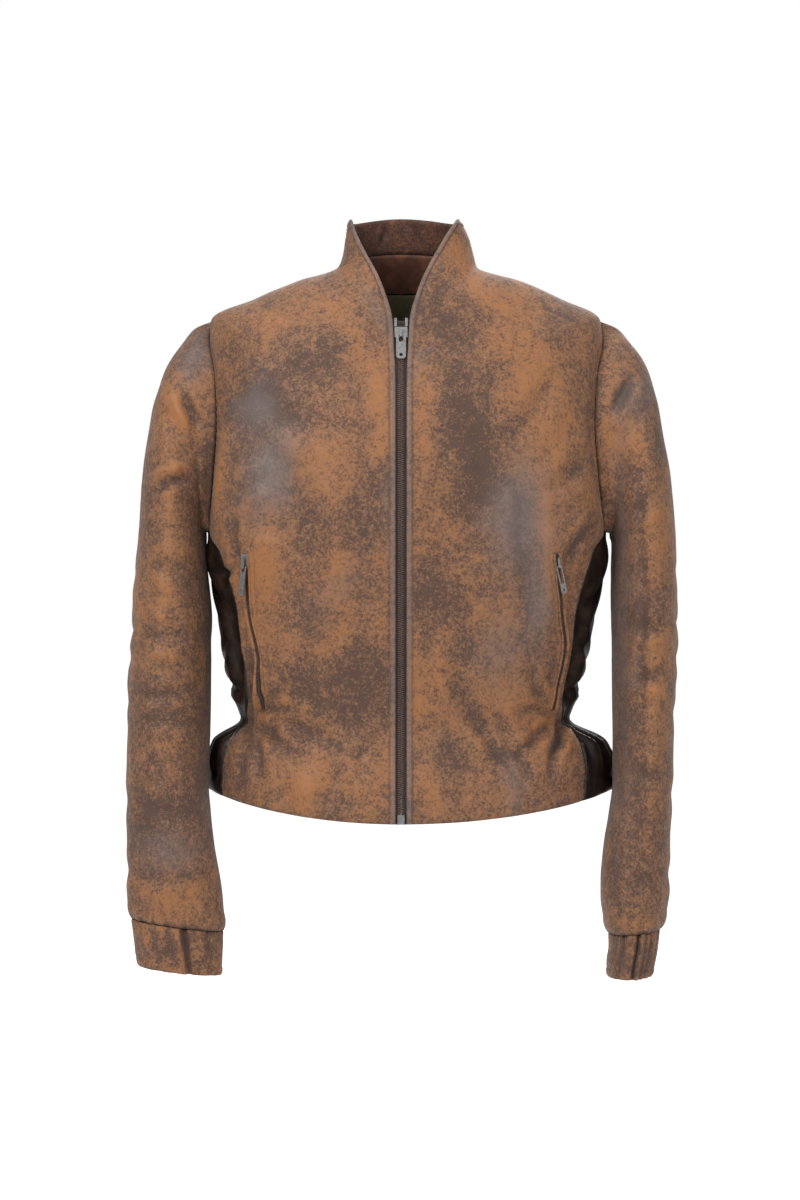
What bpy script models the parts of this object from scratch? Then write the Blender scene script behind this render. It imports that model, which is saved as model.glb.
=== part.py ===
"""A worn leather jacket, filled out on a general figure, with nobody in it.

The frame is in metres, +Z up, with the front facing -Y and the wearer's left at +X. The origin is at the
middle of the neck base, on the line of the shoulders, where the wearer holds the jacket up.
"""

import math

import bmesh
import bpy
from mathutils import Matrix, Vector

NAME = "worn_leather_jacket"

# Thicknesses of the cloths, the space between a cloth and what lies on it, and the width of a seam.
LEATHER = 0.0016
FACING = 0.0012
LINING = 0.0010
TAPE = 0.0010
GAP = 0.0003
SEAM = 0.0007
# The body's rings are rounder than a box and squarer than an oval, which has a roundness of 2.
ROUNDNESS = 2.3
# How far either way of a point its normal is read, in stations and in degrees.
NORMAL_REACH, NORMAL_TURN = 0.02, 0.5
HALVINGS = 30
SMOOTH_UNDER = 50

# Stations of the body, from the hem up to the top of the collar: height at centre front, at the side or
# shoulder and at centre back; half width on the wearer's right and left; how far back the widest point is;
# and the depth in front of that point and behind it.
BODY = (
    (-0.544, -0.518, -0.535, 0.196, 0.216, 0.050, 0.182, 0.078),
    (-0.513, -0.495, -0.506, 0.1955, 0.215, 0.042, 0.170, 0.080),
    (-0.484, -0.472, -0.480, 0.189, 0.205, 0.028, 0.149, 0.084),
    (-0.450, -0.449, -0.452, 0.160, 0.168, 0.008, 0.123, 0.096),
    (-0.424, -0.424, -0.425, 0.169, 0.176, 0.002, 0.119, 0.102),
    (-0.385, -0.385, -0.385, 0.178, 0.187, 0.000, 0.122, 0.108),
    (-0.340, -0.340, -0.340, 0.184, 0.195, 0.000, 0.126, 0.112),
    (-0.285, -0.285, -0.285, 0.1915, 0.204, 0.000, 0.129, 0.115),
    (-0.255, -0.262, -0.255, 0.1925, 0.2045, 0.000, 0.130, 0.117),
    (-0.215, -0.215, -0.212, 0.193, 0.204, 0.000, 0.129, 0.118),
    (-0.175, -0.160, -0.168, 0.193, 0.204, 0.000, 0.125, 0.117),
    (-0.140, -0.104, -0.125, 0.192, 0.203, 0.000, 0.117, 0.113),
    (-0.112, -0.052, -0.085, 0.189, 0.199, 0.000, 0.106, 0.104),
    (-0.085, -0.030, -0.048, 0.146, 0.159, 0.000, 0.096, 0.092),
    (-0.058, -0.012, -0.0155, 0.102, 0.119, 0.000, 0.087, 0.079),
    (-0.028, 0.002, 0.004, 0.063, 0.076, 0.000, 0.076, 0.070),
    (0.010, 0.014, 0.0235, 0.058, 0.0725, 0.000, 0.060, 0.063),
    (0.030, 0.030, 0.040, 0.055, 0.068, 0.000, 0.055, 0.060),
    (0.008, 0.048, 0.056, 0.0525, 0.060, 0.000, 0.056, 0.058),
)
POCKET_LOW, POCKET_TOP, UNDERARM, SHOULDER = 3.5, 7, 8, 12
ZIP_TOP, NECK_SEAM, COLLAR_TOP = 14, 16, 18
# The stations at which the body's rows of facets lie.
ROWS = (0, 1, 2, 2.5, 3, 3.5, 4, 5, 6, 6.5, 7, 8, 8.5, 9, 9.5, 10, 10.5, 11, 11.5, 12, 13, 14, 15, 16, 17, 18)

# Turn from centre front, in degrees, of the seam between the front and what lies beside it, at each station.
FRONT_SEAM_RIGHT = (62, 64, 67, 74, 69, 66, 66, 70, 80, 76, 74, 77, 90, 90, 90, 90, 90, 90, 90)
FRONT_SEAM_LEFT = (57, 60, 64, 74, 70, 69, 68, 71, 80, 76, 74, 77, 90, 90, 90, 90, 90, 90, 90)
BACK_SEAM = (116, 114, 110, 105, 107, 109, 108, 104, 100, 103, 105, 102, 90, 90, 90, 90, 90, 90, 90)
# Turn of the pocket line at each station up to the underarm.
POCKET_RIGHT = (54, 56, 58, 61, 58, 57, 59, 57, 55)
POCKET_LEFT = (49, 53, 58, 64, 64, 64, 60, 55, 53)
# Distance from the middle to the front edge of the panels, at each station.
EDGE_RIGHT = (0.0052,) * 12 + (0.0054, 0.0066, 0.0082, 0.0170, 0.0350, 0.0440, 0.0500)
EDGE_LEFT = EDGE_RIGHT[:15] + (0.0165, 0.0340, 0.0450, 0.0560)

FRONT_COLUMNS = 9
POCKET_COLUMN = 7
# How wide the pocket's band is in degrees, and over how many stations above it the columns even out.
POCKET_BAND = 2.4
POCKET_EASE = 3
SIDE_COLUMNS = (0.0, 0.10, 0.28, 0.52, 0.76, 1.0)
BACK_COLUMNS = 14

# The largest folds: the tuck down the side panel, the pouch before it at the chest and the sag over the waist.
# For each, how deep it is, how far past the front seam it lies in degrees and its half width there, and the
# station at which it is deepest and its half length in stations.
TUCK = (-0.009, 5, 6, 4.8, 2.8)
POUCH = (0.008, -15, 18, 8.2, 2.1)
SAG = (0.003, 12, 30, 6.9, 0.9)

# Rings of a sleeve below the armhole: x and z of its outer point, x and z of its inner point, half the
# depth from front to back, and how far forward its middle is.
SLEEVE_RIGHT = (
    (-0.2080, -0.0640, -0.1941, -0.2660, 0.0560, 0.000),
    (-0.2220, -0.0800, -0.1951, -0.2680, 0.0600, 0.000),
    (-0.2360, -0.1010, -0.1955, -0.2710, 0.0630, 0.001),
    (-0.2462, -0.1300, -0.1955, -0.2750, 0.0655, 0.002),
    (-0.2533, -0.1680, -0.1945, -0.2800, 0.0670, 0.003),
    (-0.2580, -0.2080, -0.1942, -0.2880, 0.0675, 0.005),
    (-0.2612, -0.2540, -0.1934, -0.2990, 0.0675, 0.007),
    (-0.2643, -0.3000, -0.1905, -0.3200, 0.0660, 0.010),
    (-0.2668, -0.3439, -0.1880, -0.3499, 0.0635, 0.014),
    (-0.2687, -0.3847, -0.1885, -0.3856, 0.0605, 0.018),
    (-0.2705, -0.4233, -0.1885, -0.4243, 0.0580, 0.022),
    (-0.2709, -0.4628, -0.1890, -0.4638, 0.0560, 0.026),
    (-0.2716, -0.5042, -0.1900, -0.5061, 0.0530, 0.030),
    (-0.2708, -0.5454, -0.1868, -0.5494, 0.0490, 0.034),
    (-0.2706, -0.5847, -0.1809, -0.5896, 0.0440, 0.037),
    (-0.2702, -0.6180, -0.1758, -0.6259, 0.0380, 0.039),
    (-0.2662, -0.6436, -0.1745, -0.6554, 0.0320, 0.040),
)
SLEEVE_LEFT = (
    (0.2200, -0.0640, 0.2070, -0.2660, 0.0560, 0.000),
    (0.2320, -0.0780, 0.2090, -0.2680, 0.0600, 0.000),
    (0.2450, -0.0980, 0.2100, -0.2710, 0.0635, 0.001),
    (0.2550, -0.1270, 0.2105, -0.2750, 0.0660, 0.002),
    (0.2617, -0.1650, 0.2105, -0.2800, 0.0680, 0.003),
    (0.2689, -0.2060, 0.2100, -0.2880, 0.0690, 0.005),
    (0.2727, -0.2520, 0.2095, -0.2990, 0.0690, 0.007),
    (0.2745, -0.3000, 0.2090, -0.3200, 0.0680, 0.010),
    (0.2746, -0.3439, 0.2090, -0.3499, 0.0665, 0.014),
    (0.2742, -0.3847, 0.2095, -0.3856, 0.0650, 0.018),
    (0.2715, -0.4233, 0.2095, -0.4233, 0.0635, 0.022),
    (0.2695, -0.4628, 0.2098, -0.4628, 0.0620, 0.026),
    (0.2680, -0.5042, 0.2092, -0.5032, 0.0600, 0.030),
    (0.2665, -0.5454, 0.2039, -0.5454, 0.0575, 0.034),
    (0.2650, -0.5847, 0.1980, -0.5866, 0.0545, 0.037),
    (0.2644, -0.6180, 0.1966, -0.6230, 0.0510, 0.039),
    (0.2579, -0.6515, 0.2030, -0.6574, 0.0470, 0.040),
)
# The same, for a cuff from its seam down.
CUFF_RIGHT = (
    (-0.2655, -0.6441, -0.1755, -0.6559, 0.0315, 0.040),
    (-0.2640, -0.6590, -0.1755, -0.6700, 0.0315, 0.040),
    (-0.2620, -0.6745, -0.1758, -0.6845, 0.0310, 0.040),
    (-0.2590, -0.6900, -0.1765, -0.6990, 0.0305, 0.040),
)
CUFF_LEFT = (
    (0.2550, -0.6519, 0.2050, -0.6579, 0.0460, 0.040),
    (0.2540, -0.6670, 0.2045, -0.6715, 0.0465, 0.040),
    (0.2515, -0.6825, 0.2025, -0.6858, 0.0465, 0.040),
    (0.2480, -0.6980, 0.2025, -0.7000, 0.0460, 0.040),
)
# Over how many rings a sleeve's columns settle to an even spacing, and how far out the sleeve's head stands
# from the seam and what share of that its first ring takes.
SLEEVE_SETTLE = 6
HEAD_EASE, HEAD_HOLD = 0.012, 0.45
CUFF_COLUMNS = 24
PLEAT_HALF_TURN = 1.5
# Turn round the cuff of its pleat, from the outer edge forwards, and how far the pleat folds in.
PLEAT_RIGHT, PLEAT_LEFT = 105, 92
PLEAT_DEPTH = 0.0035

# Zips: half width and thickness of a closed chain of teeth, and how far its tape reaches from the middle.
CHAIN_HALF = 0.0027
CHAIN_THICK = 0.0026
TAPE_REACH = 0.0125
# Stations of the chain's ends, and of the lower end, middle and upper end of the slider's line.
CHAIN_LOW, CHAIN_TOP = 0.33, 13.62
SLIDER_LOW, SLIDER_MIDDLE, SLIDER_HIGH = 13.3, 13.5, 13.8
STOP_SIZE = (0.0030, 0.0090, 0.0018)
# How far a top stop's middle is from the slider's, to the side and up.
STOP_ASIDE, STOP_UP = 0.0052, 0.0106
BOX_SIZE = (0.0070, 0.0090, 0.0018)
POCKET_ZIP_THICK = 0.0014

# Sliders: width, height, plate thickness, height of the plate's face over the middle of what it runs on.
FRONT_SLIDER = (0.0125, 0.0110, 0.0012, 0.0028)
POCKET_SLIDER = (0.0084, 0.0140, 0.0012, 0.0016)
BAIL_WIDTH, BAIL_RISE, BAIL_BAR = 0.0024, 0.0016, 0.0010
# The bail's upper end over the slider's middle, its lower end over the slider's, and how far its feet sink.
BAIL_TOP, BAIL_INSET, BAIL_SINK = 0.0030, 0.0001, 0.0002
BRIDGE = 0.0030

# Pull tabs: width, length below the hinge, length of the slot, radius of the hole, height of the hole's
# middle over the tab's lower end.
FRONT_TAB = (0.0095, 0.0245, 0.0070, 0.0017, 0.0040)
POCKET_TAB_RIGHT = (0.0064, 0.0285, 0.0060, 0.0011, 0.0050)
POCKET_TAB_LEFT = (0.0064, 0.0275, 0.0180, 0.0011, 0.0038)
TAB_THICK = 0.0009
SLOT_RIM = 0.0025
BAIL_PLAY = 0.0005
TAB_BAR = 0.0008
# How round the corners of a tab and of its slot are, as shares of their half widths.
TAB_CORNER, SLOT_CORNER = 0.7, 0.9
CORNER_STEPS, HOLE_SIDES = 5, 12
EDGE_ROUND = 0.0003


def value(values, place):
    """A smooth value at a place along a list, which never swings past its entries."""
    index = max(0, min(int(place), len(values) - 2))
    share = place - index

    def slope(at):
        if at <= 0 or at >= len(values) - 1:
            return 0.0
        before = values[at] - values[at - 1]
        after = values[at + 1] - values[at]
        return 2 * before * after / (before + after) if before * after > 0 else 0.0

    start, end = values[index], values[index + 1]
    low, high = slope(index), slope(index + 1)
    if index == 0:
        low = end - start
    if index == len(values) - 2:
        high = end - start
    square, cube = share**2, share**3
    return (
        start * (2 * cube - 3 * square + 1)
        + low * (cube - 2 * square + share)
        + end * (3 * square - 2 * cube)
        + high * (cube - square)
    )


def hump(distance):
    """1 at 0, falling smoothly to 0 at a distance of 1."""
    return (1 - distance**2) ** 2 if abs(distance) < 1 else 0.0


def front_seam(station, side):
    return value(FRONT_SEAM_LEFT if side > 0 else FRONT_SEAM_RIGHT, station)


def relief(station, turn):
    """How far the largest folds move the body's surface out."""
    side = 1 if turn > 0 else -1
    past_seam = abs(turn) - front_seam(station, side)
    return sum(
        rise * hump((past_seam - past) / width) * hump((station - deepest) / length)
        for rise, past, width, deepest, length in (TUCK, POUCH, SAG)
    )


def body_base(station, turn):
    """A point of the body before its folds, at a turn from centre front, positive to the wearer's left."""
    front_z, side_z, back_z, right, left, widest, front, back = (
        value([row[column] for row in BODY], station) for column in range(8)
    )
    angle = math.radians(turn)
    at_front = abs(turn) <= 90
    width = left if angle > 0 else right
    depth = front if at_front else back
    across, along = abs(math.sin(angle)) / width, abs(math.cos(angle)) / depth
    reach = (across**ROUNDNESS + along**ROUNDNESS) ** (-1 / ROUNDNESS)
    share = (reach * across) ** 2
    middle_z = front_z if at_front else back_z
    height = middle_z + (side_z - middle_z) * share
    return Vector((reach * math.sin(angle), widest - reach * math.cos(angle), height))


def body_normal(station, turn):
    low, high = max(station - NORMAL_REACH, 0), min(station + NORMAL_REACH, COLLAR_TOP)
    up = body_base(high, turn) - body_base(low, turn)
    round_ = body_base(station, turn + NORMAL_TURN) - body_base(station, turn - NORMAL_TURN)
    return round_.cross(up).normalized()


def body_point(station, turn):
    return body_base(station, turn) + body_normal(station, turn) * relief(station, turn)


def edge_turn(station, side):
    """The turn at which a ring of the body crosses the front edge of a panel."""
    goal = value(EDGE_LEFT if side > 0 else EDGE_RIGHT, station)
    low, high = 0.0, 90.0
    for _ in range(HALVINGS):
        middle = (low + high) / 2
        if abs(body_base(station, side * middle).x) < goal:
            low = middle
        else:
            high = middle
    return low


def front_turns(station, side):
    """The turns of a front panel's columns in one row: even at the chest, drawn to the pocket line below."""
    start, end = edge_turn(station, side), front_seam(station, side)
    pocket = value(POCKET_LEFT if side > 0 else POCKET_RIGHT, min(station, UNDERARM))
    pull = 1 - max(0.0, min(1.0, (station - POCKET_TOP) / POCKET_EASE))
    turns = []
    for column in range(FRONT_COLUMNS + 1):
        even = start + (end - start) * column / FRONT_COLUMNS
        if column < POCKET_COLUMN:
            drawn = start + (pocket - start) * column / POCKET_COLUMN
        elif column < FRONT_COLUMNS:
            drawn = pocket + POCKET_BAND * (column - POCKET_COLUMN)
        else:
            drawn = end
        turns.append(even + (drawn - even) * pull)
    return on_side(turns, side)


def side_turns(station, side):
    start, end = front_seam(station, side), value(BACK_SEAM, station)
    return on_side([start + (end - start) * share for share in SIDE_COLUMNS], side)


def on_side(turns, side):
    """Turns on the wearer's left or right, always in the same direction round the body."""
    return turns if side > 0 else [-turn for turn in reversed(turns)]


def back_turns(station):
    seam = value(BACK_SEAM, station)
    turns = [seam + (360 - 2 * seam) * column / BACK_COLUMNS for column in range(BACK_COLUMNS + 1)]
    return [turn - 360 if turn > 180 else turn for turn in turns]


def skin(rows, turns_of):
    """Rows of (point, normal) on the body's outer surface."""
    return [[(body_point(row, turn), body_normal(row, turn)) for turn in turns_of(row)] for row in rows]


def between(a, b, share):
    return a[0].lerp(b[0], share), a[1].lerp(b[1], share).normalized()


def trimmed(rows, first=0.0, last=0.0, bottom=0.0, top=0.0):
    """The same skin with its edges drawn in by these lengths, along its own facets."""

    def drawn(line, start, end):
        line = list(line)
        if start:
            line[0] = between(line[0], line[1], start / (line[1][0] - line[0][0]).length)
        if end:
            line[-1] = between(line[-1], line[-2], end / (line[-2][0] - line[-1][0]).length)
        return line

    rows = [drawn(row, first, last) for row in rows]
    columns = [drawn(column, bottom, top) for column in zip(*rows)]
    return [list(row) for row in zip(*columns)]


def wall(name, rows, near, far, material, ring=False):
    """A wall of cloth between the skin moved out by near and by far. A ring's columns meet themselves."""
    shape = bmesh.new()
    layers = [
        [[shape.verts.new(point + normal * out) for point, normal in row] for row in rows]
        for out in (near, far)
    ]
    count = len(rows[0])
    columns = range(count if ring else count - 1)
    for layer, flip in zip(layers, (True, False)):
        for low, high in zip(layer, layer[1:]):
            for column in columns:
                right = (column + 1) % count
                for corners in (
                    (low[column], low[right], high[right]),
                    (low[column], high[right], high[column]),
                ):
                    shape.faces.new(reversed(corners) if flip else corners)
    inner, outer = layers
    rims = [(inner[0], outer[0]), (outer[-1], inner[-1])]
    if not ring:
        rims.append(([row[-1] for row in inner], [row[-1] for row in outer]))
        rims.append(([row[0] for row in outer], [row[0] for row in inner]))
    for place, (first, second) in enumerate(rims):
        edges = columns if place < 2 else range(len(rows) - 1)
        for start in edges:
            end = (start + 1) % len(first)
            shape.faces.new((first[start], first[end], second[end]))
            shape.faces.new((first[start], second[end], second[start]))
    bmesh.ops.recalc_face_normals(shape, faces=shape.faces)
    mesh = bpy.data.meshes.new(name)
    shape.to_mesh(mesh)
    shape.free()
    mesh.shade_smooth()
    mesh.set_sharp_from_angle(angle=math.radians(SMOOTH_UNDER))
    return add(name, mesh, material)


def add(name, mesh, material, matrix=None):
    """Makes an object of a mesh or curve, gives it its material and puts it in the jacket's collection."""
    piece = bpy.data.objects.new(name, mesh)
    mesh.materials.append(material)
    bpy.data.collections[NAME].objects.link(piece)
    if matrix is not None:
        piece.matrix_world = matrix
    return piece


def finish(name, colour, roughness, metallic=0.0):
    material = bpy.data.materials.new(name)
    material.use_nodes = True
    shader = material.node_tree.nodes["Principled BSDF"]
    shader.inputs["Base Color"].default_value = (*colour, 1)
    shader.inputs["Roughness"].default_value = roughness
    shader.inputs["Metallic"].default_value = metallic
    material.diffuse_color = (*colour, 1)
    return material


def side_name(side):
    return "left" if side > 0 else "right"


# ---- body ----


def front_panel(side, material):
    rows = skin(ROWS, lambda row: front_turns(row, side))
    seam = {"last" if side > 0 else "first": SEAM / 2}
    return wall(f"front_{side_name(side)}", trimmed(rows, **seam), -LEATHER, 0, material)


def side_panel(side, material):
    rows = skin([row for row in ROWS if row <= UNDERARM], lambda row: side_turns(row, side))
    return wall(f"side_{side_name(side)}", trimmed(rows, SEAM / 2, SEAM / 2), -LEATHER, 0, material)


def back_panel(material):
    return wall("back", trimmed(skin(ROWS, back_turns), SEAM / 2, SEAM / 2), -LEATHER, 0, material)


def collar_facing(material):
    """The inside of the collar, from one front edge round the back of the neck to the other."""

    def turns(row):
        return front_turns(row, 1) + back_turns(row)[1:-1] + front_turns(row, -1)

    rows = skin([row for row in ROWS if row >= NECK_SEAM], turns)
    outer = -LEATHER - GAP
    return wall("collar_facing", trimmed(rows, bottom=SEAM / 2), outer - FACING, outer, material)


def neck_facing(material):
    rows = skin([row for row in ROWS if ZIP_TOP <= row <= NECK_SEAM], back_turns)
    outer = -LEATHER - GAP
    return wall("neck_facing", trimmed(rows, GAP, GAP, SEAM / 2, SEAM / 2), outer - FACING, outer, material)


def back_lining(material):
    rows = skin([row for row in ROWS if 1 <= row <= ZIP_TOP], back_turns)
    outer = -LEATHER - GAP
    return wall("back_lining", trimmed(rows, GAP, GAP, 0, SEAM / 2), outer - LINING, outer, material)


# ---- sleeves and cuffs ----


def ring_point(ring, turn):
    """A point of an oval ring. The turn starts at the outer point and goes forwards, in degrees."""
    outer_x, outer_z, inner_x, inner_z, depth, forward = ring
    angle = math.radians(turn)
    middle = Vector(((outer_x + inner_x) / 2, -forward, (outer_z + inner_z) / 2))
    half = Vector((outer_x - inner_x, 0, outer_z - inner_z)) / 2
    return middle + half * math.cos(angle) - Vector((0, depth * math.sin(angle), 0))


def armhole(side):
    """The loop of the body's edge that the sleeve is sewn to: from the shoulder, down the front, up the back."""
    arm_rows = [row for row in ROWS if UNDERARM <= row < SHOULDER]
    front = [body_point(row, side * front_seam(row, side)) for row in reversed(arm_rows)]
    under = [body_point(UNDERARM, turn) for turn in side_turns(UNDERARM, side)[1:-1]][::side]
    rear = [body_point(row, side * value(BACK_SEAM, row)) for row in arm_rows]
    return [body_point(SHOULDER, side * 90), *front, *under, *rear]


def with_normals(points, side):
    """Pairs each point of a tube's rings with its normal, read from its neighbours."""
    count = len(points[0])
    rows = []
    for index, ring in enumerate(points):
        above, below = points[max(index - 1, 0)], points[min(index + 1, len(points) - 1)]
        row = []
        for column, point in enumerate(ring):
            round_ = ring[(column + 1) % count] - ring[column - 1]
            row.append((point, round_.cross(above[column] - below[column]).normalized() * -side))
        rows.append(row)
    return rows


def sleeve(side, material):
    seam = armhole(side)
    rings = SLEEVE_LEFT if side > 0 else SLEEVE_RIGHT
    top, low = seam[0].z, min(point.z for point in seam)
    half_height, half_depth = (top - low) / 2, max(abs(point.y) for point in seam)
    turns = []
    for point in seam:
        turn = math.degrees(math.atan2(-point.y / half_depth, (point.z - (top + low) / 2) / half_height))
        turns.append(turn % 360)
    even = [360 * column / len(seam) for column in range(len(seam))]
    outward = Vector((side, 0, 0))
    points = [[point + outward * GAP for point in seam]]
    for index, ring in enumerate(rings):
        settle = min(1.0, (index + 1) / SLEEVE_SETTLE)
        row = [ring_point(ring, turn + (flat - turn) * settle) for turn, flat in zip(turns, even)]
        if index == 0:
            row = [point.lerp(edge + outward * HEAD_EASE, HEAD_HOLD) for point, edge in zip(row, seam)]
        points.append(row)
    return wall(f"sleeve_{side_name(side)}", with_normals(points, side), -LEATHER, 0, material, ring=True)


def cuff(side, material):
    rings = CUFF_LEFT if side > 0 else CUFF_RIGHT
    pleat = PLEAT_LEFT if side > 0 else PLEAT_RIGHT
    step = 360 / (CUFF_COLUMNS - 2)
    turns = [pleat - PLEAT_HALF_TURN, pleat, pleat + PLEAT_HALF_TURN]
    turns += [pleat + step * index for index in range(1, CUFF_COLUMNS - 2)]
    points = []
    for ring in rings:
        row = [ring_point(ring, turn) for turn in turns]
        row[1] += Vector((0, PLEAT_DEPTH, 0))
        points.append(row)
    return wall(f"cuff_{side_name(side)}", with_normals(points, side), -LEATHER, 0, material, ring=True)


# ---- zips ----


def zip_rows():
    return [row for row in ROWS if row <= ZIP_TOP]


def front_zip_line(row):
    """The middle of the front zip's tape at one row, with the direction out of the jacket."""
    edges = []
    for side in (1, -1):
        turns = sorted(abs(turn) for turn in front_turns(row, side))[:2]
        first, second = (body_point(row, side * turn) for turn in turns)
        edges.append(first.lerp(second, -abs(first.x) / abs(second.x - first.x)))
    out = body_normal(row, 0)
    out.x = 0
    out.normalize()
    return (edges[0] + edges[1]) / 2 - out * (LEATHER + GAP + TAPE / 2), out


def front_tape(side, material):
    """Tape from the chain to a little way behind the front panel, flat behind the panel's first facets."""
    rows = []
    for row in zip_rows():
        first, second = (
            (body_point(row, side * turn), body_normal(row, side * turn))
            for turn in sorted(abs(t) for t in front_turns(row, side))[:2]
        )
        width = abs(second[0].x - first[0].x)
        near = CHAIN_HALF + GAP
        strip = [between(first, second, (x - abs(first[0].x)) / width) for x in (near, TAPE_REACH)]
        rows.append(strip[::side])
    outer = -LEATHER - GAP
    return wall(f"zip_tape_{side_name(side)}", rows, outer - TAPE, outer, material)


def front_chain(material):
    """The closed teeth as one strip, from the bottom box to just inside the slider."""
    places = [CHAIN_LOW, *[row for row in zip_rows() if 1 <= row <= 13], CHAIN_TOP]
    rows = []
    for place in places:
        middle, out = front_zip_line(place)
        across = Vector((CHAIN_HALF, 0, 0))
        rows.append([(middle + across, out), (middle - across, out)])
    return wall("zip_chain", rows, -CHAIN_THICK / 2, CHAIN_THICK / 2, material)


def frame(origin, up, out):
    """A matrix whose X goes across a zip, Y up it and Z out of the cloth."""
    across = up.cross(out).normalized()
    up = up.normalized()
    axes = Matrix((across, up, across.cross(up))).transposed()
    return Matrix.Translation(origin) @ axes.to_4x4()


def hanging(matrix):
    """The same place and hinge axis, turned about that axis so that -Y points as far down as it can."""
    across = matrix.col[0].to_3d()
    up = Vector((0, 0, 1))
    up -= across * up.dot(across)
    return frame(matrix.translation, up, across.cross(up))


def block(shape, size, middle):
    bmesh.ops.create_cube(shape, size=1, matrix=Matrix.Translation(middle) @ Matrix.Diagonal((*size, 1)))


def solid(name, boxes, material, matrix):
    """One body of overlapping boxes, joined, with its edges rounded."""
    pieces = []
    for place, (size, middle) in enumerate(boxes):
        shape = bmesh.new()
        block(shape, size, middle)
        mesh = bpy.data.meshes.new(name)
        shape.to_mesh(mesh)
        shape.free()
        piece = add(name if place == 0 else f"{name}_cutter_{place}", mesh, material, matrix)
        pieces.append(piece)
    for tool in pieces[1:]:
        union = pieces[0].modifiers.new("join", "BOOLEAN")
        union.operation = "UNION"
        union.object = tool
        tool.hide_render = True
        tool.display_type = "WIRE"
        bpy.data.collections[NAME].objects.unlink(tool)
        bpy.data.collections["cutters"].objects.link(tool)
    rounding = pieces[0].modifiers.new("rounded edges", "BEVEL")
    rounding.width = EDGE_ROUND
    rounding.segments = 1
    rounding.limit_method = "ANGLE"
    return pieces[0]


def slider(name, sizes, material, matrix, bridge=0.0):
    """A slider's face plate with the bail that holds its tab and, round a chain, a bridge and back plate."""
    width, height, thick, face = sizes
    top = face + BAIL_RISE
    low, high = BAIL_INSET - height / 2, BAIL_TOP
    foot = (BAIL_WIDTH, BAIL_BAR, BAIL_RISE + BAIL_BAR)
    foot_middle = face + (BAIL_RISE + BAIL_BAR) / 2 - BAIL_SINK
    boxes = [
        ((width, height, thick), (0, 0, face - thick / 2)),
        ((BAIL_WIDTH, high - low, BAIL_BAR), (0, (low + high) / 2, top + BAIL_BAR / 2)),
        (foot, (0, low + BAIL_BAR / 2, foot_middle)),
        (foot, (0, high - BAIL_BAR / 2, foot_middle)),
    ]
    if bridge:
        boxes.append(((width, height, thick), (0, 0, thick / 2 - face)))
        boxes.append(((2 * CHAIN_HALF, bridge, 2 * face - thick), (0, (height - bridge) / 2, 0)))
    return solid(name, boxes, material, matrix)


def tab_outline(curve, half_width, low, high, corner):
    """A closed outline with round lower corners and square upper ones."""
    points = [(-half_width, high), (half_width, high)]
    for index in range(CORNER_STEPS + 1):
        angle = math.radians(-90 * index / CORNER_STEPS)
        across, down = corner - corner * math.cos(angle), corner + corner * math.sin(angle)
        points.append((half_width - across, low + down))
    for index in range(CORNER_STEPS + 1):
        angle = math.radians(-90 - 90 * index / CORNER_STEPS)
        across, down = corner + corner * math.cos(angle), corner + corner * math.sin(angle)
        points.append((across - half_width, low + down))
    line = curve.splines.new("POLY")
    line.points.add(len(points) - 1)
    for target, (x, y) in zip(line.points, points):
        target.co = (x, y, 0, 1)
    line.use_cyclic_u = True


def pull_tab(name, sizes, material, matrix):
    """A flat tab hanging from its hinge at the origin, with a slot for the bail and a round hole."""
    width, length, slot, hole, hole_up = sizes
    curve = bpy.data.curves.new(name, "CURVE")
    curve.dimensions = "2D"
    curve.fill_mode = "BOTH"
    curve.extrude = TAB_THICK / 2
    half = width / 2
    tab_outline(curve, half, -length, TAB_BAR / 2, half * TAB_CORNER)
    slot_half = max(BAIL_WIDTH / 2 + BAIL_PLAY, half - SLOT_RIM)
    tab_outline(curve, slot_half, -slot, -TAB_BAR / 2, slot_half * SLOT_CORNER)
    ring = curve.splines.new("POLY")
    ring.points.add(HOLE_SIDES - 1)
    for index, target in enumerate(ring.points):
        angle = 2 * math.pi * index / HOLE_SIDES
        target.co = (hole * math.cos(angle), hole_up - length + hole * math.sin(angle), 0, 1)
    ring.use_cyclic_u = True
    return add(name, curve, material, matrix)


def hinge_place(matrix, sizes):
    """Where a tab's bar lies: in the bail, at its lower end."""
    height, face = sizes[1], sizes[3]
    up = BAIL_BAR + TAB_BAR / 2 + BAIL_PLAY - height / 2
    return matrix @ Matrix.Translation((0, up, face + BAIL_RISE / 2))


def front_zip(metal, tape, brass):
    for side in (1, -1):
        front_tape(side, tape)
    front_chain(brass)
    low, high = front_zip_line(SLIDER_LOW)[0], front_zip_line(SLIDER_HIGH)[0]
    at_slider = frame((low + high) / 2, high - low, front_zip_line(SLIDER_MIDDLE)[1])
    slider("front_slider", FRONT_SLIDER, metal, at_slider, bridge=BRIDGE)
    pull_tab("front_pull", FRONT_TAB, metal, hinge_place(at_slider, FRONT_SLIDER))
    raised = TAPE / 2 + GAP + STOP_SIZE[2] / 2
    for side in (1, -1):
        stop_at = at_slider @ Vector((side * STOP_ASIDE, STOP_UP, raised))
        place = Matrix.Translation(stop_at) @ at_slider.to_3x3().to_4x4()
        solid(f"top_stop_{side_name(side)}", [(STOP_SIZE, (0, 0, 0))], metal, place)
    foot, above = front_zip_line(0)[0], front_zip_line(1)[0]
    at_foot = frame(foot, above - foot, front_zip_line(0)[1])
    box_rise = TAPE / 2 + GAP + BOX_SIZE[2] / 2
    solid("bottom_box", [(BOX_SIZE, (0, BOX_SIZE[1] / 2, box_rise))], metal, at_foot)


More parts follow.
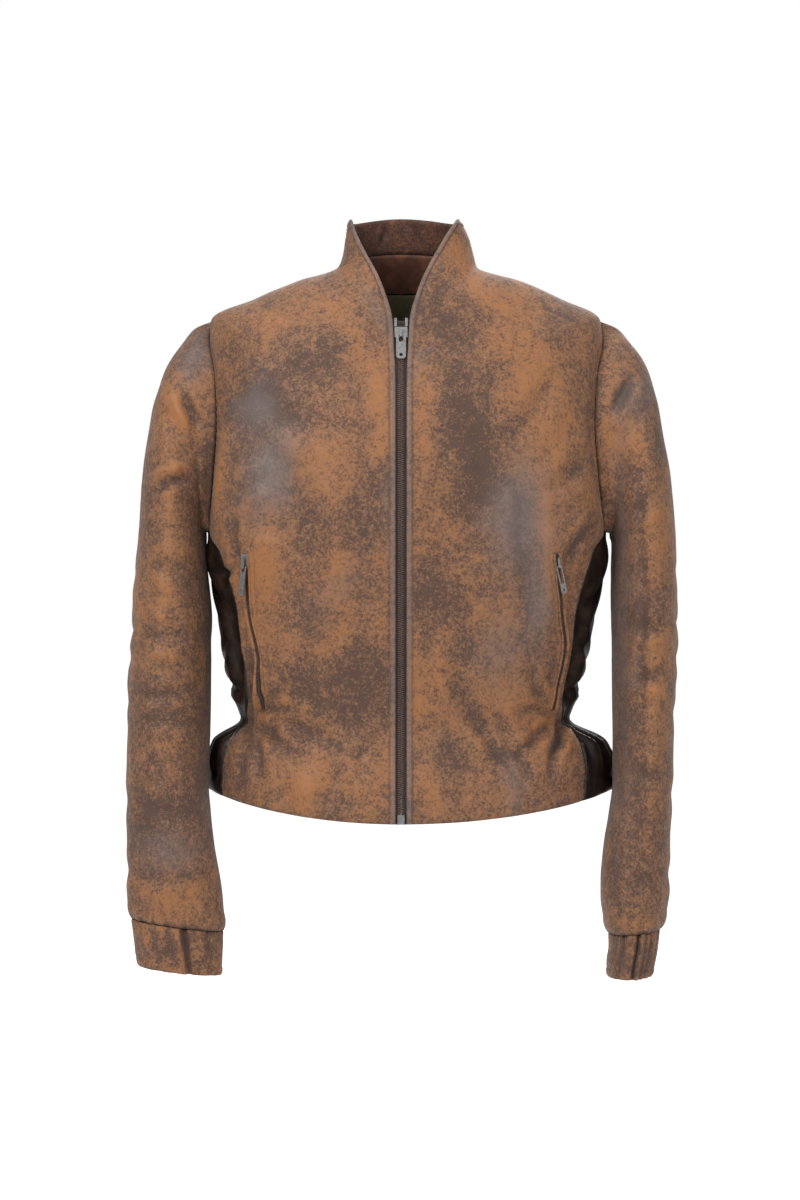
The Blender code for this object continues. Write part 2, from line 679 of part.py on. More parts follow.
def pocket_zip(side, metal, tape):
    """A welt with its zip along the pocket line, lying on the front panel, closed, its slider at the top."""
    rows = []
    for row in [row for row in ROWS if POCKET_LOW <= row <= POCKET_TOP]:
        turns = sorted(abs(turn) for turn in front_turns(row, side))[POCKET_COLUMN : POCKET_COLUMN + 2]
        strip = [(body_point(row, side * turn), body_normal(row, side * turn)) for turn in turns]
        rows.append(strip[::side])
    wall(f"pocket_zip_{side_name(side)}", rows, GAP, GAP + POCKET_ZIP_THICK, tape)
    (first, out), (second, _) = rows[-1]
    (third, _), (fourth, _) = rows[-2]
    top, low = (first + second) / 2, (third + fourth) / 2
    up = (top - low).normalized()
    sizes = POCKET_SLIDER
    origin = top - up * (sizes[1] / 2) + out * (GAP + POCKET_ZIP_THICK + GAP - sizes[3] + sizes[2])
    matrix = frame(origin, up, out)
    slider(f"pocket_slider_{side_name(side)}", sizes, metal, matrix)
    tab = POCKET_TAB_LEFT if side > 0 else POCKET_TAB_RIGHT
    pull_tab(f"pocket_pull_{side_name(side)}", tab, metal, hanging(hinge_place(matrix, sizes)))


def clear_scene():
    for piece in list(bpy.data.objects):
        bpy.data.objects.remove(piece)


def main():
    clear_scene()
    for name in (NAME, "cutters"):
        bpy.context.scene.collection.children.link(bpy.data.collections.new(name))
    bpy.data.collections["cutters"].hide_render = True
    tan = finish("tan leather", (0.33, 0.16, 0.07), 0.42)
    deep = finish("shaded leather", (0.10, 0.05, 0.03), 0.5)
    metal = finish("zinc", (0.62, 0.62, 0.64), 0.28, 1.0)
    teeth = finish("brown teeth", (0.16, 0.11, 0.10), 0.4, 0.6)
    tape = finish("dark tape", (0.045, 0.03, 0.025), 0.85)
    for side in (1, -1):
        front_panel(side, tan)
        side_panel(side, deep)
        sleeve(side, tan)
        cuff(side, tan)
        pocket_zip(side, metal, tape)
    back_panel(tan)
    collar_facing(tan)
    neck_facing(finish("dark facing", (0.11, 0.045, 0.03), 0.5))
    back_lining(finish("olive lining", (0.09, 0.08, 0.045), 0.8))
    front_zip(metal, tape, teeth)


main()
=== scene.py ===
"""The looks of a worn leather jacket: its leather, lining, zips and stitches, in the model's own frame.

Lengths are in metres. The front faces -Y, the wearer's left is at +X, and the origin is the middle of the neck
base. Cloth pieces are thin shells on the same stations and rings as the model's solids, with finer folds.
"""

import math

import bpy
import numpy as np
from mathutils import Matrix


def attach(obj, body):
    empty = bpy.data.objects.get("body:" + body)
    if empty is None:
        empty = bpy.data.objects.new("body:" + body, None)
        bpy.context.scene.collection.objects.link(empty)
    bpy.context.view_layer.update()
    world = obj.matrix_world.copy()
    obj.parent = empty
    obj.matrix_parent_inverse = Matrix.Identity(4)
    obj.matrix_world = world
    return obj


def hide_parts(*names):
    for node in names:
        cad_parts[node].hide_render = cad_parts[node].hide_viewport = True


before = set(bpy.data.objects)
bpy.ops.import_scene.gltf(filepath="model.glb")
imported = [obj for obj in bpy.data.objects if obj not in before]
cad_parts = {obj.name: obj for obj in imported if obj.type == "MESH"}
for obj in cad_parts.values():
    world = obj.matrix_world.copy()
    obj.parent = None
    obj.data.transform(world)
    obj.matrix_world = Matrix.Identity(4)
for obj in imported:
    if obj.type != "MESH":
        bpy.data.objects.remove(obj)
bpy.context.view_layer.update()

MM = 0.001
LEATHER = 1.6 * MM
FACING = 1.2 * MM
LINING = 1.0 * MM
TAPE = 1.0 * MM
GAP = 0.3 * MM
ROUNDNESS = 2.3
GRID = 3.2 * MM
CREASE_DEPTH = 1.7
COARSE_GRID = 4.5 * MM
FACING_GRID = 3 * MM

# Distances of a front's first columns from its edge, and of its last from the seam. A stitch line runs down one.
EDGE_STEPS = np.array((0, 0.3, 0.8, 1.5, 2.4, 3.4, 4.2, 4.8, 5.3, 5.8, 6.2, 6.7, 7.4, 8.6, 10.5)) * MM
SEAM_STEPS = np.array((0, 0.7, 1.6, 2.8, 4.4)) * MM
STITCH_COLUMN = 9
SIDE_RADIUS = 0.19
HEM_STITCH = 14 * MM
POCKET_STITCH = 8.6 * MM

THREAD = 0.32 * MM
STITCH_PITCH = 3.4 * MM
STITCH_LENGTH = 2.5 * MM
TEETH_TOP = 13.62
TOOTH_PITCH = 2.1 * MM
POCKET_TOOTH_PITCH = 1.1 * MM
TAPE_REACH = 12.5 * MM

CAMERA_AWAY = 2.833
CAMERA_HEIGHT = -0.330
FLOOR = -1.05
FLOOR_HALF = 30.0

# Stations of the body, from the hem up to the top of the collar: height at centre front, at the side or
# shoulder and at centre back; half width on the wearer's right and left; how far back the widest point is;
# and the depth in front of that point and behind it.
BODY = np.array((
    (-0.544, -0.518, -0.535, 0.196, 0.216, 0.05, 0.182, 0.078),
    (-0.513, -0.495, -0.506, 0.1955, 0.215, 0.042, 0.17, 0.08),
    (-0.484, -0.472, -0.48, 0.189, 0.205, 0.028, 0.149, 0.084),
    (-0.45, -0.449, -0.452, 0.16, 0.168, 0.008, 0.123, 0.096),
    (-0.424, -0.424, -0.425, 0.169, 0.176, 0.002, 0.119, 0.102),
    (-0.385, -0.385, -0.385, 0.178, 0.187, 0, 0.122, 0.108),
    (-0.34, -0.34, -0.34, 0.184, 0.195, 0, 0.126, 0.112),
    (-0.285, -0.285, -0.285, 0.1915, 0.204, 0, 0.129, 0.115),
    (-0.255, -0.262, -0.255, 0.1925, 0.2045, 0, 0.13, 0.117),
    (-0.215, -0.215, -0.212, 0.193, 0.204, 0, 0.129, 0.118),
    (-0.175, -0.16, -0.168, 0.193, 0.204, 0, 0.125, 0.117),
    (-0.14, -0.104, -0.125, 0.192, 0.203, 0, 0.117, 0.113),
    (-0.112, -0.052, -0.085, 0.189, 0.199, 0, 0.106, 0.104),
    (-0.085, -0.03, -0.048, 0.146, 0.159, 0, 0.096, 0.092),
    (-0.058, -0.012, -0.0155, 0.102, 0.119, 0, 0.087, 0.079),
    (-0.028, 0.002, 0.004, 0.063, 0.076, 0, 0.076, 0.07),
    (0.01, 0.014, 0.0235, 0.058, 0.0725, 0, 0.06, 0.063),
    (0.03, 0.03, 0.04, 0.055, 0.068, 0, 0.055, 0.06),
    (0.044, 0.048, 0.0585, 0.0525, 0.06, 0, 0.056, 0.058),
))
POCKET_LOW, POCKET_TOP, UNDERARM, SHOULDER, ZIP_TOP, NECK_SEAM, COLLAR_TOP = 3.5, 7, 8, 12, 14, 16, 18
FRONT_SEAM_RIGHT = (62, 64, 67, 74, 69, 66, 66, 70, 80, 76, 74, 77, 90, 90, 90, 90, 90, 90, 90)
FRONT_SEAM_LEFT = (57, 60, 64, 74, 70, 69, 68, 71, 80, 76, 74, 77, 90, 90, 90, 90, 90, 90, 90)
BACK_SEAM = (116, 114, 110, 105, 107, 109, 108, 104, 100, 103, 105, 102, 90, 90, 90, 90, 90, 90, 90)
POCKET_RIGHT = (54, 56, 58, 61, 58, 57, 59, 57, 55)
POCKET_LEFT = (49, 53, 58, 64, 64, 64, 60, 55, 53)
POCKET_BAND = 2.4
EDGE_RIGHT = (5.2,) * 12 + (5.4, 6.6, 8.2, 17, 35, 44, 50)
EDGE_LEFT = EDGE_RIGHT[:15] + (16.5, 34, 45, 56)
# The largest folds: how far out each goes, how far past the front seam its middle is and its half width in
# degrees, and the station of its middle and its half length.
TUCK = (-9 * MM, 5, 6, 4.8, 2.8)
POUCH = (8 * MM, -15, 18, 8.2, 2.1)
SAG = (3 * MM, 12, 30, 6.9, 0.9)

# Rings of a sleeve below the armhole: x and z of its outer point, x and z of its inner point, half the
# depth from front to back, and how far forward its middle is.
SLEEVE_RIGHT = np.array((
    (-0.208, -0.064, -0.1941, -0.266, 0.056, 0),
    (-0.222, -0.08, -0.1951, -0.268, 0.06, 0),
    (-0.236, -0.101, -0.1955, -0.271, 0.063, 0.001),
    (-0.2462, -0.13, -0.1955, -0.275, 0.0655, 0.002),
    (-0.2533, -0.168, -0.1945, -0.28, 0.067, 0.003),
    (-0.258, -0.208, -0.1942, -0.288, 0.0675, 0.005),
    (-0.2612, -0.254, -0.1934, -0.299, 0.0675, 0.007),
    (-0.2643, -0.3, -0.1905, -0.32, 0.066, 0.01),
    (-0.2668, -0.3439, -0.188, -0.3499, 0.0635, 0.014),
    (-0.2687, -0.3847, -0.1885, -0.3856, 0.0605, 0.018),
    (-0.2705, -0.4233, -0.1885, -0.4243, 0.058, 0.022),
    (-0.2709, -0.4628, -0.189, -0.4638, 0.056, 0.026),
    (-0.2716, -0.5042, -0.19, -0.5061, 0.053, 0.03),
    (-0.2708, -0.5454, -0.1868, -0.5494, 0.049, 0.034),
    (-0.2706, -0.5847, -0.1809, -0.5896, 0.044, 0.037),
    (-0.2702, -0.618, -0.1758, -0.6259, 0.038, 0.039),
    (-0.2662, -0.6436, -0.1745, -0.6554, 0.032, 0.04),
))
SLEEVE_LEFT = np.array((
    (0.22, -0.064, 0.207, -0.266, 0.056, 0),
    (0.232, -0.078, 0.209, -0.268, 0.06, 0),
    (0.245, -0.098, 0.21, -0.271, 0.0635, 0.001),
    (0.255, -0.127, 0.2105, -0.275, 0.066, 0.002),
    (0.2617, -0.165, 0.2105, -0.28, 0.068, 0.003),
    (0.2689, -0.206, 0.21, -0.288, 0.069, 0.005),
    (0.2727, -0.252, 0.2095, -0.299, 0.069, 0.007),
    (0.2745, -0.3, 0.209, -0.32, 0.068, 0.01),
    (0.2746, -0.3439, 0.209, -0.3499, 0.0665, 0.014),
    (0.2742, -0.3847, 0.2095, -0.3856, 0.065, 0.018),
    (0.2715, -0.4233, 0.2095, -0.4233, 0.0635, 0.022),
    (0.2695, -0.4628, 0.2098, -0.4628, 0.062, 0.026),
    (0.268, -0.5042, 0.2092, -0.5032, 0.06, 0.03),
    (0.2665, -0.5454, 0.2039, -0.5454, 0.0575, 0.034),
    (0.265, -0.5847, 0.198, -0.5866, 0.0545, 0.037),
    (0.2644, -0.618, 0.1966, -0.623, 0.051, 0.039),
    (0.2579, -0.6515, 0.203, -0.6574, 0.047, 0.04),
))
CUFF_RIGHT = np.array((
    (-0.2655, -0.6441, -0.1755, -0.6559, 0.0315, 0.04),
    (-0.264, -0.659, -0.1755, -0.67, 0.0315, 0.04),
    (-0.262, -0.6745, -0.1758, -0.6845, 0.031, 0.04),
    (-0.259, -0.69, -0.1765, -0.699, 0.0305, 0.04),
))
CUFF_LEFT = np.array((
    (0.255, -0.6519, 0.205, -0.6579, 0.046, 0.04),
    (0.254, -0.667, 0.2045, -0.6715, 0.0465, 0.04),
    (0.2515, -0.6825, 0.2025, -0.6858, 0.0465, 0.04),
    (0.248, -0.698, 0.2025, -0.7, 0.046, 0.04),
))
SLEEVE_SETTLE = 6
# Pleats of the cuffs: the turn of each in degrees, its depth in millimetres and its width in degrees.
PLEATS_RIGHT = (
    (105, 6.5, 2.6), (62, 1.8, 4), (84, 1.2, 3), (140, 2.2, 4.5), (250, 2.4, 4), (292, 1.8, 4),
    (330, 1.4, 4),
)
PLEATS_LEFT = (
    (92, 6.5, 2.8), (60, 2.2, 3.6), (42, 1.5, 3), (74, 1.4, 2.6), (128, 2.2, 4), (232, 2.4, 4),
    (286, 1.9, 4),
)

# Creases: the points of each line in millimetres, how wide it is and how far it rises, or sinks below zero.
# The first two lists are in X and Z, as seen from the front and from behind.
FRONT_CREASES = (
    # pockets and waist, wearer's right
    (((-149, -385), (-149, -415), (-148, -445)), 5, -5), (((-137, -395), (-139, -420), (-143, -446)), 4, 2.2),
    (((-146, -446), (-128, -437), (-104, -436)), 4, -2.4), (((-148, -450), (-130, -458), (-108, -474)), 5, -2.8),
    (((-150, -452), (-141, -474), (-136, -500)), 5, -3), (((-152, -455), (-153, -480), (-158, -510)), 5, -2.4),
    (((-144, -440), (-126, -424), (-112, -402)), 5, -2), (((-120, -448), (-95, -455), (-66, -470)), 7, -1.8),
    # waist and lower front, wearer's left
    (((158, -446), (156, -462), (150, -478)), 5, -4.2), (((150, -445), (133, -437), (112, -436)), 4, -2.2),
    (((152, -450), (132, -462), (112, -482)), 5, -2.8), (((155, -455), (148, -480), (146, -508)), 5, -2.6),
    (((148, -440), (134, -420), (126, -396)), 5, -1.8), (((48, -402), (58, -428), (72, -458)), 6, -2.2),
    (((66, -424), (79, -452), (98, -486)), 6, -3), (((88, -440), (102, -466), (118, -500)), 7, -2),
    (((104, -476), (112, -488), (116, -500)), 4, 2), (((-34, -470), (-40, -486), (-36, -502)), 5, -1.2),
    # pouch above the right pocket
    (((-157, -250), (-158, -272), (-156, -293)), 4, -3.6), (((-169, -165), (-176, -205), (-181, -250)), 7, 2.6),
    (((-184, -190), (-187, -225), (-184, -262)), 5, -2.6), (((-182, -296), (-171, -304), (-160, -298)), 4, -2.6),
    (((-163, -236), (-150, -222), (-132, -214)), 8, -1.8),
    # armhole and chest, wearer's left
    (((196, -86), (192, -130), (188, -172), (192, -220)), 6, -2.6), (((184, -250), (172, -268), (160, -288)), 5, -3),
    (((176, -190), (160, -212), (138, -224)), 8, -1.8), (((134, -222), (140, -290), (142, -366)), 11, 2.2),
    (((118, -230), (122, -290), (126, -340)), 9, -1.6),
    # soft lines over the chest and belly
    (((-150, -120), (-112, -150), (-78, -168)), 12, -1.4), (((-130, -180), (-100, -240), (-92, -310)), 14, -1.6),
    (((-62, -190), (-56, -260), (-64, -340)), 13, 1.4), (((-30, -300), (-42, -360), (-36, -420)), 12, -1.3),
    (((60, -130), (78, -200), (70, -280)), 14, -1.5), (((28, -330), (40, -380), (36, -430)), 11, 1.3),
    (((150, -110), (128, -150), (104, -176)), 11, -1.4), (((-96, -500), (-92, -520), (-94, -545)), 10, 1.8),
    (((28, -490), (32, -515), (34, -545)), 11, 1.6), (((98, -500), (104, -520), (108, -545)), 10, 1.8),
    (((-60, -478), (-62, -510), (-66, -548)), 11, -1.8),
    # sleeves, wearer's right
    (((-216, -124), (-208, -140), (-199, -158)), 5, -3.2), (((-226, -132), (-216, -150), (-205, -170)), 6, 1.8),
    (((-250, -218), (-226, -204), (-198, -199)), 6, 2.4), (((-252, -229), (-228, -215), (-200, -209)), 5, -2.6),
    (((-262, -290), (-238, -296), (-206, -312)), 8, -1.6), (((-264, -352), (-240, -362), (-198, -366)), 7, -2),
    (((-264, -392), (-236, -384), (-200, -388)), 6, 1.8), (((-266, -418), (-238, -422), (-202, -418)), 5, -2),
    (((-266, -452), (-240, -446), (-196, -452)), 7, -1.6), (((-262, -520), (-236, -534), (-200, -538)), 8, -1.5),
    (((-262, -590), (-238, -602), (-196, -598)), 8, -1.8), (((-240, -200), (-246, -300), (-252, -380)), 9, -1.4),
    # sleeves, wearer's left
    (((226, -112), (217, -128), (207, -145)), 5, -3.2), (((238, -120), (228, -138), (216, -156)), 6, 1.8),
    (((218, -184), (220, -300), (219, -420), (216, -574)), 7, 1.9),
    (((230, -200), (233, -310), (231, -430), (227, -560)), 8, -1.7),
    (((231, -296), (246, -302), (261, -313)), 2.4, -0.9), (((250, -230), (238, -240), (216, -246)), 7, -1.8),
    (((266, -350), (246, -358), (222, -356)), 7, -1.8), (((266, -392), (244, -404), (222, -402)), 6, -2),
    (((266, -428), (248, -420), (226, -424)), 6, 1.6), (((264, -490), (244, -500), (216, -498)), 8, -1.5),
    (((204, -554), (206, -590), (207, -636)), 5, -2.2), (((258, -585), (240, -600), (214, -604)), 8, -1.6),
)
BACK_CREASES = (
    # drag lines from the armholes
    (((-176, -140), (-150, -180), (-112, -206)), 10, -2.6), (((-182, -190), (-158, -224), (-126, -244)), 9, -2.2),
    (((176, -140), (150, -184), (116, -212)), 10, -2.6), (((184, -196), (160, -226), (122, -248)), 9, -2.2),
    (((-120, -96), (-60, -112), (10, -108)), 14, -1.6), (((130, -92), (70, -118), (14, -126)), 14, -1.4),
    # slump above the waist
    (((-160, -352), (-100, -376), (-36, -372)), 11, -2.6), (((158, -346), (104, -372), (40, -380)), 11, -2.6),
    (((-120, -330), (-50, -348), (30, -338)), 13, 2), (((-148, -404), (-96, -418), (-40, -412)), 8, -2.4),
    (((150, -402), (92, -416), (34, -414)), 8, -2.4), (((-40, -250), (-18, -300), (-26, -350)), 14, -1.6),
    (((60, -200), (52, -270), (66, -330)), 14, -1.5), (((4, -60), (-4, -150), (2, -230)), 16, 1.6),
    # hem flutes
    (((-120, -470), (-126, -500), (-132, -535)), 10, -2.6), (((-64, -472), (-66, -505), (-70, -540)), 11, 2.4),
    (((-14, -470), (-12, -505), (-16, -540)), 10, -2.4), (((44, -472), (48, -505), (50, -540)), 11, 2.4),
    (((104, -470), (110, -500), (118, -535)), 10, -2.6),
    # collar tucks
    (((-14, 55), (-17, 42), (-22, 30)), 3, 1.3), (((2, 56), (2, 42), (1, 28)), 2.6, 1.3),
    (((14, 55), (16, 42), (18, 32)), 3, 1.2),
    # sleeves, with the elbows' creases
    (((-262, -300), (-232, -316), (-200, -312)), 8, -2.2), (((-266, -340), (-230, -356), (-196, -348)), 7, -3.2),
    (((-266, -368), (-236, -378), (-198, -374)), 6, 2.6), (((-266, -394), (-232, -400), (-196, -410)), 7, -3.2),
    (((-266, -440), (-236, -436), (-200, -448)), 8, -2.2), (((-262, -520), (-230, -510), (-196, -520)), 9, -1.8),
    (((-214, -110), (-206, -150), (-202, -190)), 6, -2.4), (((264, -296), (240, -314), (214, -310)), 8, -2.2),
    (((266, -338), (242, -352), (216, -348)), 7, -3.2), (((266, -366), (242, -376), (216, -374)), 6, 2.6),
    (((266, -398), (240, -402), (216, -412)), 7, -3.2), (((264, -446), (240, -440), (216, -450)), 8, -2.2),
    (((262, -524), (238, -514), (212, -522)), 9, -1.8), (((226, -110), (216, -150), (212, -190)), 6, -2.4),
)
# Creases of the sides, in Y and Z, as seen from the wearer's right and from the left.
RIGHT_CREASES = (
    (((-30, -300), (0, -312), (34, -296)), 8, -1.8), (((-44, -348), (-16, -366), (24, -360)), 7, -2.6),
    (((-40, -390), (-6, -384), (30, -396)), 7, -2.4), (((-52, -440), (-20, -428), (18, -436)), 8, -1.8),
    (((-60, -520), (-28, -530), (10, -522)), 9, -1.6), (((-70, -600), (-40, -596), (-12, -606)), 8, -1.8),
    (((-10, -110), (4, -180), (-4, -260)), 12, -1.6), (((26, -130), (34, -200), (30, -280)), 12, 1.4),
)
LEFT_CREASES = (
    (((-36, -296), (-4, -310), (32, -302)), 8, -1.8), (((-46, -342), (-12, -360), (28, -352)), 7, -2.6),
    (((-46, -386), (-10, -392), (26, -380)), 7, -2.4), (((-56, -436), (-22, -446), (14, -432)), 8, -1.8),
    (((-62, -528), (-30, -518), (8, -530)), 9, -1.6), (((-76, -606), (-44, -600), (-8, -610)), 8, -1.8),
    (((-16, -110), (-6, -170), (2, -250)), 12, -1.6), (((30, -120), (28, -200), (34, -270)), 12, 1.4),
)
# Creases of the panels under the arms, in Y and Z.
SIDE_CREASES = (
    (((-44, -333), (-12, -308), (22, -280)), 6, -3), (((-46, -350), (-12, -330), (26, -306)), 6, 1.8),
    (((-42, -372), (-20, -386), (6, -396)), 5, -2.8), (((-40, -424), (-14, -412), (24, -420)), 6, -2.6),
    (((-52, -446), (-46, -470), (-52, -500)), 5, -3), (((-28, -448), (-22, -474), (-26, -504)), 5, -2.8),
    (((-4, -448), (4, -474), (2, -504)), 5, -3), (((22, -448), (34, -470), (40, -498)), 5, -2.6),
)

# Patches of the leather, in X and Z as seen from the front, in millimetres: middle, half length and half width,
# the length's turn from X in degrees, and how much paler and oranger the leather is, or darker below zero.
FRONT_PATCHES = (
    (-97, -52, 60, 20, 18, 0.5), (-101, -105, 66, 26, 30, -0.9), (-150, -140, 26, 20, 60, -0.8),
    (-41, -92, 80, 13, -64, 0.9), (-20, -150, 44, 9, 88, 0.8), (-54, -186, 46, 22, 10, 0.5),
    (-118, -160, 34, 20, 40, -0.5), (-46, -262, 32, 26, 70, -1), (-20, -226, 26, 12, 88, -0.6),
    (-38, -412, 38, 36, 20, -1), (-95, -408, 22, 14, 70, -0.8), (-52, -364, 34, 14, 52, 0.9),
    (-134, -292, 48, 13, 88, 0.9), (-68, -502, 60, 26, 5, 0.7), (-150, -495, 34, 22, 80, -0.3),
    (-86, -330, 40, 12, 78, -0.6), (-106, -470, 22, 12, 20, -0.7), (-96, -232, 36, 24, 60, 0.4),
    (-10, -480, 30, 8, 88, 0.6), (-70, -300, 24, 12, 30, 0.4),
    (22, -30, 44, 22, 70, -0.6), (68, -6, 30, 9, 112, 0.9), (38, -72, 32, 24, 40, -0.5),
    (68, -162, 64, 34, 108, -1.1), (124, -110, 68, 24, 104, 0.9), (96, -34, 34, 15, -20, 0.6),
    (154, -62, 26, 20, 0, -0.5), (22, -155, 60, 12, 90, 0.8), (33, -334, 36, 22, 100, -1),
    (62, -378, 22, 12, 20, -0.8), (14, -416, 52, 7, 90, 0.8), (49, -484, 22, 20, 30, -1.1),
    (98, -482, 19, 11, -30, -1), (76, -506, 36, 17, 90, 0.6), (152, -205, 60, 12, 90, 0.6),
    (130, -330, 40, 14, 88, -0.5), (96, -420, 30, 18, 60, 0.5), (40, -262, 30, 22, 30, 0.4),
    (96, -352, 36, 22, 60, 0.35), (60, -236, 30, 18, 10, -0.6), (140, -440, 28, 16, 90, 0.4),
    (-204, -86, 26, 16, 90, -0.8), (-221, -155, 40, 24, 80, 0.6), (-190, -203, 40, 10, 90, -0.6),
    (-230, -330, 80, 32, 88, 0.35), (-245, -428, 30, 24, 20, -0.5), (-230, -540, 40, 34, 10, -0.95),
    (-211, -618, 30, 17, 0, 0.5), (-205, -400, 36, 10, 90, 0.3), (-252, -250, 46, 10, 90, -0.3),
    (233, -135, 26, 20, 60, -0.7), (218, -176, 22, 18, 30, 0.9), (252, -179, 20, 14, 90, -0.8),
    (243, -340, 30, 18, 80, -1), (248, -252, 40, 16, 90, 0.5), (233, -554, 50, 28, 90, -0.8),
    (243, -428, 32, 15, 90, 0.6), (222, -470, 40, 12, 90, 0.3), (225, -640, 30, 16, 0, 0.3),
    (-222, -672, 44, 24, 0, -0.75), (228, -676, 30, 22, 0, -0.75), (0, 45, 60, 14, 0, -0.7),
)
# The same, as seen from behind.
BACK_PATCHES = (
    (-120, -80, 60, 24, -20, 0.6), (-60, -130, 70, 34, 30, -0.9), (60, -90, 80, 20, -60, 0.8),
    (120, -160, 60, 34, 80, -0.8), (20, -210, 44, 26, 20, 0.5), (-110, -230, 60, 26, 70, 0.6),
    (-20, -300, 46, 34, 40, -1), (80, -290, 60, 20, 70, 0.7), (140, -330, 40, 24, 80, -0.5),
    (-120, -350, 44, 30, 20, -0.8), (20, -400, 60, 24, 10, 0.6), (-60, -440, 44, 20, 30, -0.6),
    (90, -430, 40, 24, 40, -0.9), (-100, -500, 60, 24, 5, 0.6), (50, -500, 60, 22, 5, 0.5),
    (140, -500, 30, 24, 60, -0.7), (-20, 20, 50, 16, 0, -0.4), (0, -40, 60, 14, 0, 0.5),
    (-230, -150, 50, 24, 80, -0.7), (-236, -260, 60, 24, 88, 0.6), (-232, -380, 40, 30, 20, -0.9),
    (-230, -500, 60, 28, 88, 0.5), (-224, -610, 36, 28, 10, -0.6),
    (236, -150, 50, 24, 80, 0.6), (240, -270, 50, 26, 70, -0.9), (240, -390, 60, 24, 88, 0.6),
    (238, -500, 44, 28, 30, -0.8), (232, -610, 40, 24, 10, 0.5),
)
# Painted sheen: grey highlights coloured into smooth leather, in the same form.
FRONT_SHEEN = (
    (-124, -205, 44, 26, 80, 1), (-144, -140, 30, 18, 70, 0.8), (112, -252, 50, 28, 84, 1),
    (133, -330, 44, 14, 88, 0.7), (96, -378, 40, 22, 80, 0.45), (109, -512, 26, 11, 90, 0.6),
    (-12, -250, 40, 7, 90, 0.4), (-60, -320, 30, 14, 60, 0.35), (-204, -92, 24, 14, 80, 0.7),
    (-225, -574, 26, 20, 10, 0.6), (217, -350, 190, 6, 90, 0.7), (233, -130, 24, 16, 60, 0.6),
    (20, -100, 20, 10, 40, 0.4), (-190, -500, 60, 8, 90, 0.3), (-16, -60, 40, 7, 120, 0.4),
)
BACK_SHEEN = (
    (-100, -180, 50, 26, 70, 0.9), (90, -220, 60, 20, 84, 0.8), (-30, -370, 60, 16, 10, 0.5),
    (-240, -200, 70, 8, 90, 0.6), (246, -330, 120, 8, 90, 0.6), (20, -470, 60, 14, 5, 0.4),
)


# ---- form ----


def value(values, place):
    """Smooth values at places along a list, which never swing past its entries."""
    values = np.asarray(values, float)
    steps = np.diff(values, axis=0)
    before, after = steps[:-1], steps[1:]
    same = before * after > 0
    inner = np.where(same, 2 * before * after / np.where(same, before + after, 1), 0)
    slopes = np.concatenate([steps[:1], inner, steps[-1:]])
    index = np.clip(np.floor(place).astype(int), 0, len(values) - 2)
    share = np.asarray(place) - index
    share = share.reshape(share.shape + (1,) * (values.ndim - 1))
    square, cube = share**2, share**3
    return (
        values[index] * (2 * cube - 3 * square + 1)
        + slopes[index] * (cube - 2 * square + share)
        + values[index + 1] * (3 * square - 2 * cube)
        + slopes[index + 1] * (cube - square)
    )


def hump(distance):
    """1 at 0, falling smoothly to 0 at a distance of 1."""
    return np.where(np.abs(distance) < 1, (1 - distance**2) ** 2, 0)


def bell(distance, width):
    """1 at 0, falling to 1/e at this width to either side."""
    return np.exp(-((distance / width) ** 2))


def fade(distance, width):
    """1 at 0, falling by a factor of e with each width."""
    return np.exp(-distance / width)


def smooth_step(low, high, at):
    share = np.clip((at - low) / (high - low), 0, 1)
    return share * share * (3 - 2 * share)


def unit(vectors):
    return vectors / np.maximum(np.linalg.norm(vectors, axis=-1, keepdims=True), 1e-12)


def front_seam(station, side):
    return value(FRONT_SEAM_LEFT if side > 0 else FRONT_SEAM_RIGHT, station)


def relief(station, turn):
    """How far the largest folds move the body's surface out."""
    past_seam = np.abs(turn) - np.where(turn > 0, front_seam(station, 1), front_seam(station, -1))
    return sum(
        rise * hump((past_seam - past) / width) * hump((station - deepest) / length)
        for rise, past, width, deepest, length in (TUCK, POUCH, SAG)
    )


def body_base(station, turn):
    """Points of the body before its folds. The turn goes from centre front, positive to the wearer's left."""
    station, turn = np.broadcast_arrays(np.asarray(station, float), np.asarray(turn, float))
    front_z, side_z, back_z, right, left, widest, front, back = np.moveaxis(value(BODY, station), -1, 0)
    angle = np.radians(turn)
    at_front = np.abs(turn) <= 90
    width = np.where(angle > 0, left, right)
    depth = np.where(at_front, front, back)
    across, along = np.abs(np.sin(angle)) / width, np.abs(np.cos(angle)) / depth
    reach = (across**ROUNDNESS + along**ROUNDNESS) ** (-1 / ROUNDNESS)
    middle_z = np.where(at_front, front_z, back_z)
    height = middle_z + (side_z - middle_z) * (reach * across) ** 2
    return np.stack((reach * np.sin(angle), widest - reach * np.cos(angle), height), axis=-1)


def body_normal(station, turn):
    low, high = np.maximum(station - 0.02, 0), np.minimum(station + 0.02, COLLAR_TOP)
    up = body_base(high, turn) - body_base(low, turn)
    round_ = body_base(station, turn + 0.5) - body_base(station, turn - 0.5)
    return unit(np.cross(round_, up))


def edge_turn(station, side, inset=0.0):
    """The turn at which a ring of the body comes this far past the front edge of a panel."""
    goal = value(EDGE_LEFT if side > 0 else EDGE_RIGHT, station) * MM + inset
    low, high = np.zeros(goal.shape), np.full(goal.shape, 89.0)
    for _ in range(26):
        middle = (low + high) / 2
        inside = np.abs(body_base(station, side * middle)[..., 0]) < goal
        low, high = np.where(inside, middle, low), np.where(inside, high, middle)
    return low


def stations(low, high, spacing):
    """Stations from low to high, evenly spaced up the surface."""
    dense = np.linspace(low, high, 800)
    line = body_base(dense, 60.0)
    reach = np.concatenate(([0], np.cumsum(np.linalg.norm(np.diff(line, axis=0), axis=1))))
    return np.interp(np.linspace(0, reach[-1], int(reach[-1] / spacing) + 2), reach, dense)


# ---- folds and patches ----


